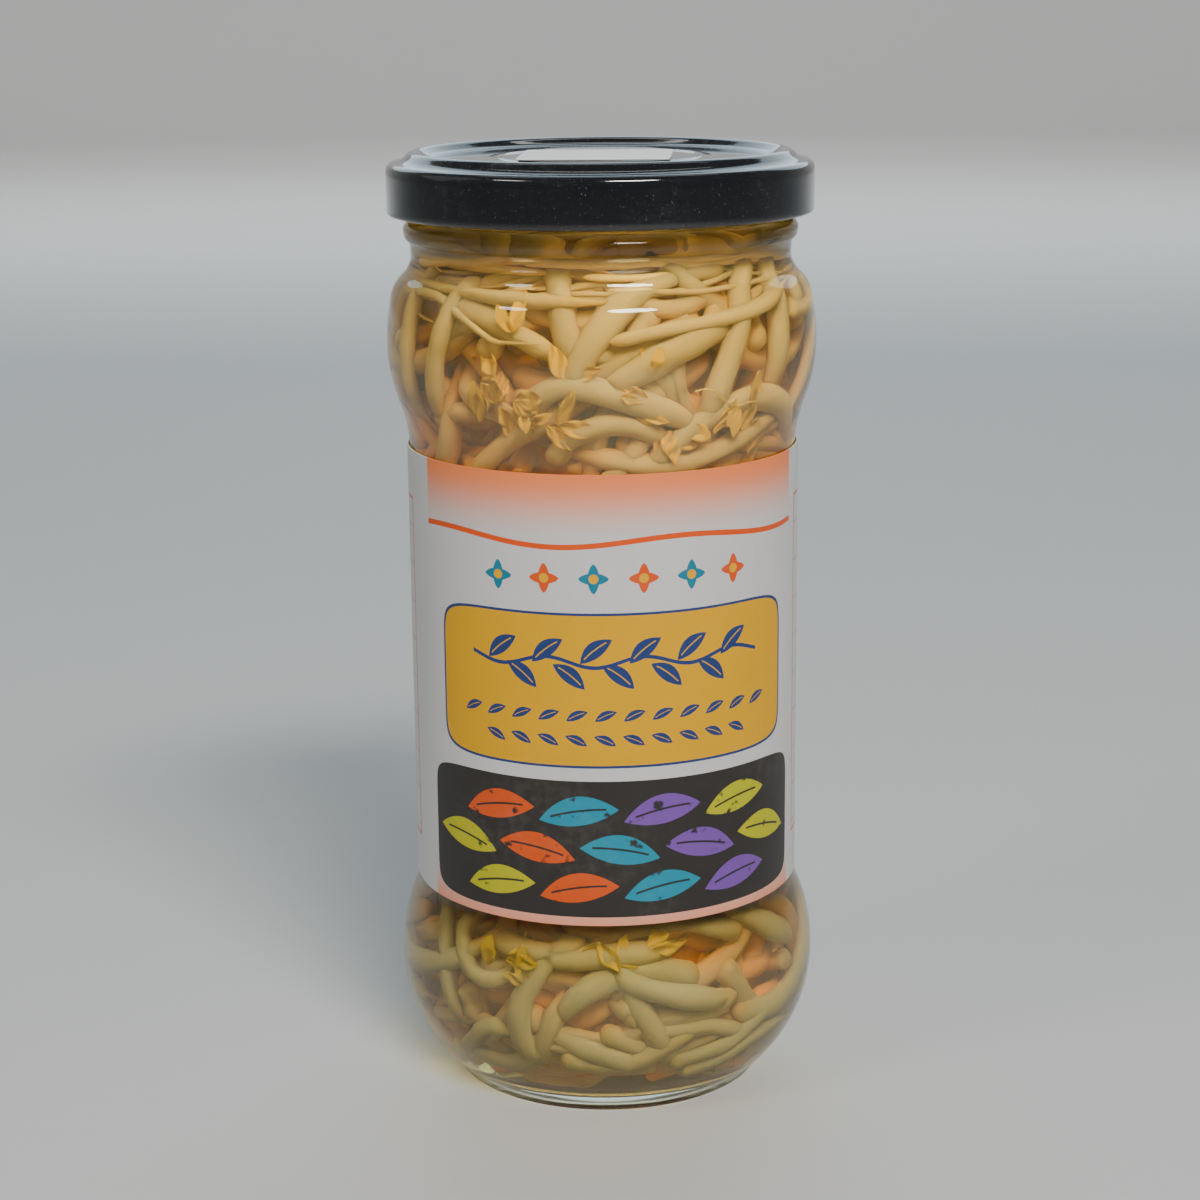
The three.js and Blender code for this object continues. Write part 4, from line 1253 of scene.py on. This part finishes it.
def make_cap(material):
    """The pressed cap: its face, skirt and curl as one turned sheet, and its lugs."""
    inside_r = CAP_R - CAP_SHEET
    face = cap_face()
    # The underside follows the face one sheet's thickness below and inside it
    under = face[::-1].copy()
    under[:, 1] -= CAP_SHEET
    under[:, 0] = np.minimum(under[:, 0], inside_r)
    under = under[under[:, 1] < PANEL_Z + 2]
    curl_r = 0.62
    curl_centre = (CAP_R - curl_r, CAP_BOTTOM_Z + curl_r)
    curl = arc(*curl_centre, curl_r, -205, 0, 16)
    into_curl = (curl[0][0], CAP_BOTTOM_Z + 1.35)
    inner_wall = [(inside_r, CAP_TOP_Z - 3.5), (inside_r, CAP_BOTTOM_Z + 2.0), into_curl]
    outer_wall = [(CAP_R, CAP_BOTTOM_Z + 1.2), (CAP_R, CAP_BOTTOM_Z + 4), (CAP_R, CAP_TOP_Z - 3.6)]
    outline = joined(under, inner_wall, curl, outer_wall, face)
    shapes = [turned(outline)]
    section = (
        lambda share: (LUG_TIP_R + 0.3, CAP_BOTTOM_Z + 0.75),
        lambda share: (CAP_R - 0.5, CAP_BOTTOM_Z + 0.7),
        lambda share: (CAP_R - 0.5, LUG_TOP_Z),
        lambda share: (LUG_TIP_R + 0.3, LUG_TOP_Z),
        lambda share: (LUG_TIP_R, LUG_TOP_Z - 0.35),
        lambda share: (LUG_TIP_R, CAP_BOTTOM_Z + 1.1),
    )
    for i in range(LUGS):
        lug = 360 / LUGS * (i + 0.5)
        shapes.append(bent_bar(lug - LUG_HALF_DEG, lug + LUG_HALF_DEG, section, 8))
    points, faces = together(shapes)
    piece = make_piece("steel_cap", points, faces, material)
    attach(piece, "cap")
    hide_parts("lid")


def make_seal(material):
    """The poured ring of compound: a flattened round section carried round the channel."""
    bottom = RIM_Z + FIT_GAP
    section = [(27.6, 0), (30.2, 0), (30.15, 0.4), (29.6, 0.95), (28.8, 0.98), (28.0, 0.45)]
    piece = make_piece("seal_ring", *turned(np.array(section) + [0, bottom], ring=True), material)
    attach(piece, "seal")
    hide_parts("lid_seal")


def make_label(material):
    """The paper: a thin strip round the waist that laps over its own start at the back. Its place on the
    print is the way round from the middle of the front and the height above the lower edge."""
    turn = 360 + LABEL_LAP_DEG
    columns = 256
    share = np.linspace(0, 1, columns + 1)
    step = np.clip((share * turn - 340) / 16, 0, 1)
    lift = (PAPER + FIT_GAP) * step**2 * (3 - 2 * step)
    a = np.radians(90 + turn * share)
    across = (turn * share - 180) * math.pi / 180 * LABEL_R
    heights = np.array([LABEL_BOTTOM_Z, LABEL_TOP_Z])
    inner, outer = LABEL_R + lift, LABEL_R + PAPER + lift
    r = np.stack([inner, outer, outer, inner], 1)
    z = np.array([heights[0], heights[0], heights[1], heights[1]])
    points = np.stack([r * np.cos(a)[:, None], r * np.sin(a)[:, None], z + 0 * r], -1).reshape(-1, 3)
    uv = np.stack([np.repeat(across, 4), np.tile(z - LABEL_BOTTOM_Z, columns + 1)], 1)
    faces = [tube_faces(columns + 1, 4), np.array([[3, 2, 1, 0]]), np.array([[0, 1, 2, 3]]) + 4 * columns]
    piece = make_piece("paper_label", points, faces, material, smooth=False, uv=uv)
    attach(piece, "jar")
    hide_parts("label")


def make_sticker(material):
    """The sticker: a rounded rectangle, whose rings are copies of its edge at shares of its size."""
    corner = STICKER_CORNER
    half_w, half_d = STICKER_WIDTH / 2 - corner, STICKER_DEPTH / 2 - corner
    centres = ((half_w, half_d), (-half_w, half_d), (-half_w, -half_d), (half_w, -half_d))
    edge = joined(*(arc(*centre, corner, 90 * i, 90 * i + 90, 6) for i, centre in enumerate(centres)))
    count = len(edge)
    bottom, top = PANEL_Z + 0.3 + FIT_GAP, PANEL_Z + 0.3 + FIT_GAP + 0.2
    shares = (0.01, 0.3, 0.6, 0.85, 0.985, 1.0, 1.0, 0.985, 0.85, 0.6, 0.3, 0.01)
    heights = [bottom] * 5 + [bottom + 0.05, top - 0.05] + [top] * 5
    rows = [np.concatenate([edge * share, np.full((count, 1), z)], 1) for share, z in zip(shares, heights)]
    points = np.concatenate(rows)
    a = math.radians(STICKER_TURN_DEG)
    spin = np.array([[math.cos(a), -math.sin(a)], [math.sin(a), math.cos(a)]])
    points[:, :2] = points[:, :2] @ spin.T + [STICKER_X, STICKER_Y]
    last = len(points) - count
    faces = [tube_faces(len(rows), count), np.arange(count)[None, ::-1], np.arange(count)[None] + last]
    piece = make_piece("cap_sticker", points, faces, material)
    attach(piece, "cap")
    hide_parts("lid_sticker")


def make_brine(material):
    """The brine: the cavity's outline, a little way into the glass so that no air shows between them."""
    wall = jar_cavity(6, 10, 6)[::-1]
    along = np.gradient(wall, axis=0)
    along /= np.linalg.norm(along, axis=1)[:, None]
    out = wall + np.stack([along[:, 1], -along[:, 0]], 1) * BRINE_INTO_GLASS
    floor = smoothed([(0, FLOOR_Z), (8, FLOOR_Z - 0.15), (16, FLOOR_Z - 0.5), tuple(wall[0])], 6)[:-1]
    floor[:, 1] -= BRINE_INTO_GLASS
    throat = [(MOUTH_R + BRINE_INTO_GLASS, 138), (MOUTH_R + BRINE_INTO_GLASS, BRINE_TOP_Z)]
    outline = joined(floor, out[1:], throat, (0, BRINE_TOP_Z))
    piece = make_piece("brine_fill", *turned(outline), material)
    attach(piece, "jar")
    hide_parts("brine")


def make_sprouts(material, neck):
    """The settled sprouts of each band, then the level stems along the wall and those deeper in. The
    settled lines come back, for the leaves and the threads."""
    sprouts = dropped_sprouts()
    lines = towards_glass(settle(sprouts))
    thickness = np.array([s["radius"] for s in sprouts])
    bands = np.array([s["band"]["name"] for s in sprouts])
    for order, band in enumerate(BANDS):
        name = band["name"]
        held = bands == name
        bunch = (lines[held], thickness[held], SPROUT_SIDES)
        piece = sprout_bunch(f"fine_{name}", *bunch, material, SEED + order)
        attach(piece, "jar")
        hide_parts(name)
    rng = np.random.default_rng(SEED + 61)
    for order, (name, count, low, high, thin, thick, room, depth, long) in enumerate(LEVEL_STEMS):
        level = level_lines(count, low, high, room, depth, long, SEED + 60 + 10 * order)
        # The neck stems take the lit copy of the flesh, painted light in the cap's shadow
        skin = neck if name == "neck_stems" else material
        radius = rng.uniform(thin, thick, count)
        piece = sprout_bunch(name, level, radius, LEVEL_SIDES, skin, SEED + 62 + order)
        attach(piece, "jar")
    radius = np.full(DEEP_SPROUTS, DEEP_RADIUS)
    deep = deep_lines(DEEP_SPROUTS)
    piece = sprout_bunch("deep_sprouts", deep, radius, DEEP_SIDES, material, SEED + 9)
    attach(piece, "jar")
    return lines


def make_heart(material):
    """The middle of the pile, where sprouts and brine run together: a turned body that keeps the same
    distance from the wall, and comes nearer to it in the neck and at the floor. Its bright amber colour is
    painted light: painted brine tint and glow, which shows in the gaps between the sprouts."""
    z = np.linspace(8.2, 141.0, 70)
    near = np.maximum(np.clip((z - 128) / 8, 0, 1), np.clip((15 - z) / 6, 0, 1))
    r = cavity_radius(z) - HEART_DEPTH + (HEART_DEPTH - HEART_NEAR) * near
    outline = joined((0, 7.8), np.stack([r, z], 1), (0, 141.4))
    points, faces = turned(outline, HEART_AROUND)
    marks = {"along": np.full(len(points), 0.5), "tone": np.full(len(points), 0.5)}
    piece = make_piece("sprout_heart", points, faces, material, marks=marks)
    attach(piece, "jar")


def leaf_heads(lines, rng):
    """Where leaves grow: the first two points of some sprouts, and two points for each pair of leaves in
    a cluster, strayed from its middle."""
    heads = [line[:2] for line in lines[rng.random(len(lines)) < HEADS_WITH_LEAVES]]
    for turn, height, count in LEAF_CLUSTERS:
        for _ in range(count):
            a = math.radians(turn - 90 + rng.normal(0, LEAF_STRAY_DEG))
            z = height + rng.normal(0, LEAF_STRAY)
            r = float(reach_at(z, 1.3)) - rng.uniform(0, 1.0)
            start = np.array([r * math.cos(a), r * math.sin(a), z])
            heads.append(np.stack([start, start + rng.normal(0, 1, 3)]))
    return heads


def leaf_blade(head, side, rng):
    """One leaf of a pair, on a grid of the way along it and the way across it. Half its width is a sine of
    the way along to a power, its height above its own plane is a bow by the square of the way along, a
    cup by the square of the way across and a small ripple, and its two skins meet at its edge."""
    rows, columns = 14, 7
    u = np.linspace(0, 1, rows)[:, None]
    v = np.linspace(-1, 1, columns)[None]
    long, wide = rng.uniform(3.4, 6.4), rng.uniform(0.8, 1.6)
    curl, cup = rng.uniform(-1.3, 1.3), rng.uniform(0.4, 1.6)
    start = head[0]
    out = np.array([start[0], start[1], 0]) / (math.hypot(start[0], start[1]) + 1e-6)
    forward = start - head[1]
    forward = forward / np.linalg.norm(forward) + rng.normal(0, 0.45, 3)
    forward -= out * (forward @ out) * 0.8
    forward /= np.linalg.norm(forward)
    across = np.cross(out, forward)
    across /= np.linalg.norm(across)
    lift = np.cross(forward, across)
    half = wide * np.sin(np.pi * np.clip(u, 0.02, 0.98)) ** 0.75
    spine = long * u
    bend = curl * spine**2 / long * 0.5
    ripple = 0.3 * np.sin(11 * u + 5 * v + side)
    height = bend + cup * (v**2 - 0.4) * half * 0.5 + ripple
    sheet = (
        start
        + forward * spine[..., None]
        + across * (v * half + side * 0.5 * spine / long)[..., None]
        + lift * height[..., None]
    )
    thick = 0.16 * (1 - np.abs(v) ** 4) * np.sin(np.pi * np.clip(u, 0.03, 0.97)) + 0.02
    upper = sheet + lift * thick[..., None]
    lower = (sheet - lift * thick[..., None])[:, ::-1]
    points = np.concatenate([upper, lower], axis=1).reshape(-1, 3)
    around = 2 * columns
    last = len(points) - around
    ends = [np.arange(around)[None, ::-1], np.arange(around)[None] + last]
    return points, [tube_faces(rows, around), *ends]


def make_seed_leaves(lines, material):
    """Small yellow leaves in pairs, at the heads of some sprouts and in clusters."""
    rng = np.random.default_rng(SEED + 20)
    shapes = [leaf_blade(head, side, rng) for head in leaf_heads(lines, rng) for side in (-1, 1)]
    points, faces = together(shapes)
    points = kept_inside(points, 0.35)
    along = np.full(len(points), 0.3)
    tone = np.repeat(rng.random(len(shapes)), len(shapes[0][0]))
    piece = make_piece("seed_leaves", points, faces, material, marks={"along": along, "tone": tone})
    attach(piece, "jar")


def kept_inside(points, room):
    """Points moved in where they would come nearer to the glass than that."""
    points = points.copy()
    points[:, 2] = np.clip(points[:, 2], 6.9, 142.2)
    out = np.hypot(points[:, 0], points[:, 1])
    limit = cavity_radius(points[:, 2]) - room
    points[:, :2] *= np.where(out > limit, limit / out, 1)[:, None]
    return points


def fine_hair(way):
    """A hair that lies along the glass at the upper right of the front: it goes round evenly and sinks
    evenly, with a small sine wave."""
    turn = np.radians(26 + 22 * way - 90)
    height = 117.4 - 3.4 * way + 0.7 * np.sin(8 * way)
    out = cavity_radius(height) - 0.55
    return np.stack([out * np.cos(turn), out * np.sin(turn), height], -1)


def make_root_threads(lines, material):
    """Loose root threads: each leaves the tip of a sprout straight on, with a sine wave to one side and a
    cosine wave to the other, and one fine hair lies apart."""
    rng = np.random.default_rng(SEED + 40)
    tips = lines[rng.random(len(lines)) < TAILS_WITH_THREADS]
    stations = 26
    t = np.linspace(0, 1, stations)[None, :, None]
    count = len(tips)
    start = tips[:, -1][:, None]
    way = tips[:, -1] - tips[:, -3]
    way = (way / np.linalg.norm(way, axis=1)[:, None])[:, None]
    turn = rng.normal(size=(count, 1, 3))
    turn /= np.linalg.norm(turn, axis=2)[..., None]
    other = np.cross(way, turn)
    long = rng.uniform(9, 22, (count, 1, 1))
    phase = rng.uniform(0, FULL_WAVE, (count, 1, 1))
    swing = rng.uniform(1.5, 4.5, (count, 1, 1))
    line = (
        start
        + way * t * long
        + turn * (np.sin(5.5 * t + phase) - np.sin(phase)) * swing
        + other * (np.cos(7.0 * t + phase) - np.cos(phase)) * swing * 0.7
    )
    line = kept_inside(line.reshape(-1, 3), 0.45).reshape(line.shape)
    radii = rng.uniform(0.2, 0.42, (count, 1)) * (1 - 0.75 * t[0, :, 0][None])
    line = np.concatenate([line, fine_hair(t[0, :, 0])[None]])
    radii = np.concatenate([radii, np.full((1, stations), 0.16)])
    count += 1
    points, faces = stems(line, radii, THREAD_SIDES)
    marks = {
        "along": spread(np.full((count, stations), 0.9), THREAD_SIDES),
        "tone": spread(np.repeat(rng.random((count, 1)), stations, axis=1), THREAD_SIDES),
    }
    piece = make_piece("root_threads", points, faces, material, marks=marks)
    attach(piece, "jar")


# The set: floor, light and camera


def make_floor(material):
    """A pale floor that sweeps up all round into a wall: flat, then a quarter circle, then upright,
    turned about Z."""
    flat_r, rise, top = 2400.0, 900.0, 2600.0
    sweep = arc(flat_r, rise, rise, -90, 0, 16)
    outline = joined([(0.0, 0.0), (40.0, 0.0), (200.0, 0.0)], sweep, (flat_r + rise, top))
    around = FLOOR_AROUND
    a = 2 * np.pi * np.arange(around) / around
    r, z = outline[1:, :1], outline[1:, 1:]
    points = np.stack([r * np.cos(a), r * np.sin(a), z + 0 * a], -1).reshape(-1, 3)
    points = np.concatenate([points, [[0, 0, 0]]])
    col = np.arange(around)
    fan = np.stack([col, (col + 1) % around, np.full(around, len(points) - 1)], -1)
    faces = [tube_faces(len(outline) - 1, around)[:, ::-1], fan]
    floor = make_piece("floor", points, faces, material)


def add_softbox(name, place, target, width, height, power, tint):
    """A soft oval lamp at a place in metres, turned towards a target."""
    lamp = bpy.data.lights.new(name, "AREA")
    lamp.shape = "ELLIPSE"
    lamp.size, lamp.size_y = width, height
    lamp.energy = power
    lamp.color = tint
    holder = bpy.data.objects.new(name, lamp)
    bpy.context.scene.collection.objects.link(holder)
    place, target = np.array(place), np.array(target)
    back = place - target
    back = back / np.linalg.norm(back)
    right = np.cross([0, 0, 1], back)
    right /= np.linalg.norm(right)
    up = np.cross(back, right)
    turn = Matrix([[*row] for row in np.stack([right, up, back], 1).tolist()]).to_4x4()
    holder.matrix_world = Matrix.Translation(place.tolist()) @ turn


def add_light():
    """A faint room light, two lamps high in front, a dim one at the left, a wide cool one behind for the
    top of the cap, and two that light the wall and the floor behind."""
    world = bpy.data.worlds.new("studio")
    bpy.context.scene.world = world
    world.use_nodes = True
    background = world.node_tree.nodes["Background"]
    background.inputs["Color"].default_value = ROOM_LIGHT
    background.inputs["Strength"].default_value = ROOM_STRENGTH
    for lamp in LAMPS:
        add_softbox(*lamp)


def add_camera():
    """The camera of the photograph: its place, its tilt down and its slight roll."""
    camera = bpy.data.cameras.new("camera")
    camera.lens = CAMERA_LENS
    camera.sensor_width = CAMERA_SENSOR
    camera.clip_start, camera.clip_end = 0.01, 20.0
    holder = bpy.data.objects.new("camera", camera)
    bpy.context.scene.collection.objects.link(holder)
    tilt = Matrix.Rotation(math.pi / 2 - CAMERA_TILT, 4, "X")
    roll = Matrix.Rotation(CAMERA_ROLL, 4, "Z")
    holder.matrix_world = Matrix.Translation(CAMERA_PLACE) @ tilt @ roll
    bpy.context.scene.camera = holder


def main():
    """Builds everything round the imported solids."""
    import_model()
    add_camera()
    add_light()
    marks_group = handling_marks_group()
    grain_group = paper_grain_group()
    skin_group = moist_skin_group()
    make_floor(plain_material("floor_finish", FLOOR_GREY, 0.6))
    make_glass(clear_material("jar_glass", GLASS_TINT, 1.5, 0.0, GLASS_SHADOW, 0.05))
    make_brine(clear_material("brine", BRINE_TINT, 1.335, 0.03, BRINE_SHADOW, 0.0, 0.95))
    make_cap(lacquer_material(marks_group))
    make_seal(sealing_material())
    make_label(label_material(grain_group, marks_group))
    make_sticker(sticker_material(grain_group))
    flesh = sprout_material("sprout_flesh", skin_group, STEM, STEM_WARM, PAINTED_DEPTH_AMBER, 0.6)
    # A lit copy of the flesh for the neck: painted light where the cap shades the stems
    neck = sprout_material("neck_flesh_painted_light", skin_group, NECK_STEM_PAINTED_LIGHT, NECK_WARM_PAINTED_LIGHT, NECK_AMBER_PAINTED_LIGHT, 0.0)
    lines = make_sprouts(flesh, neck)
    make_heart(sprout_material("heart_flesh_painted_amber", skin_group, PAINTED_DEPTH_AMBER, PAINTED_DEPTH_AMBER, PAINTED_DEPTH_AMBER_HEART, 0.0))
    make_seed_leaves(lines, sprout_material("leaf_yellow", skin_group, LEAF_YELLOW, LEAF_WARM, PAINTED_DEPTH_AMBER, 0.0))
    make_root_threads(lines, sprout_material("root_skin", skin_group, ROOT_SKIN, ROOT_WARM, PAINTED_DEPTH_AMBER, 0.2))
    bpy.context.view_layer.update()


main()
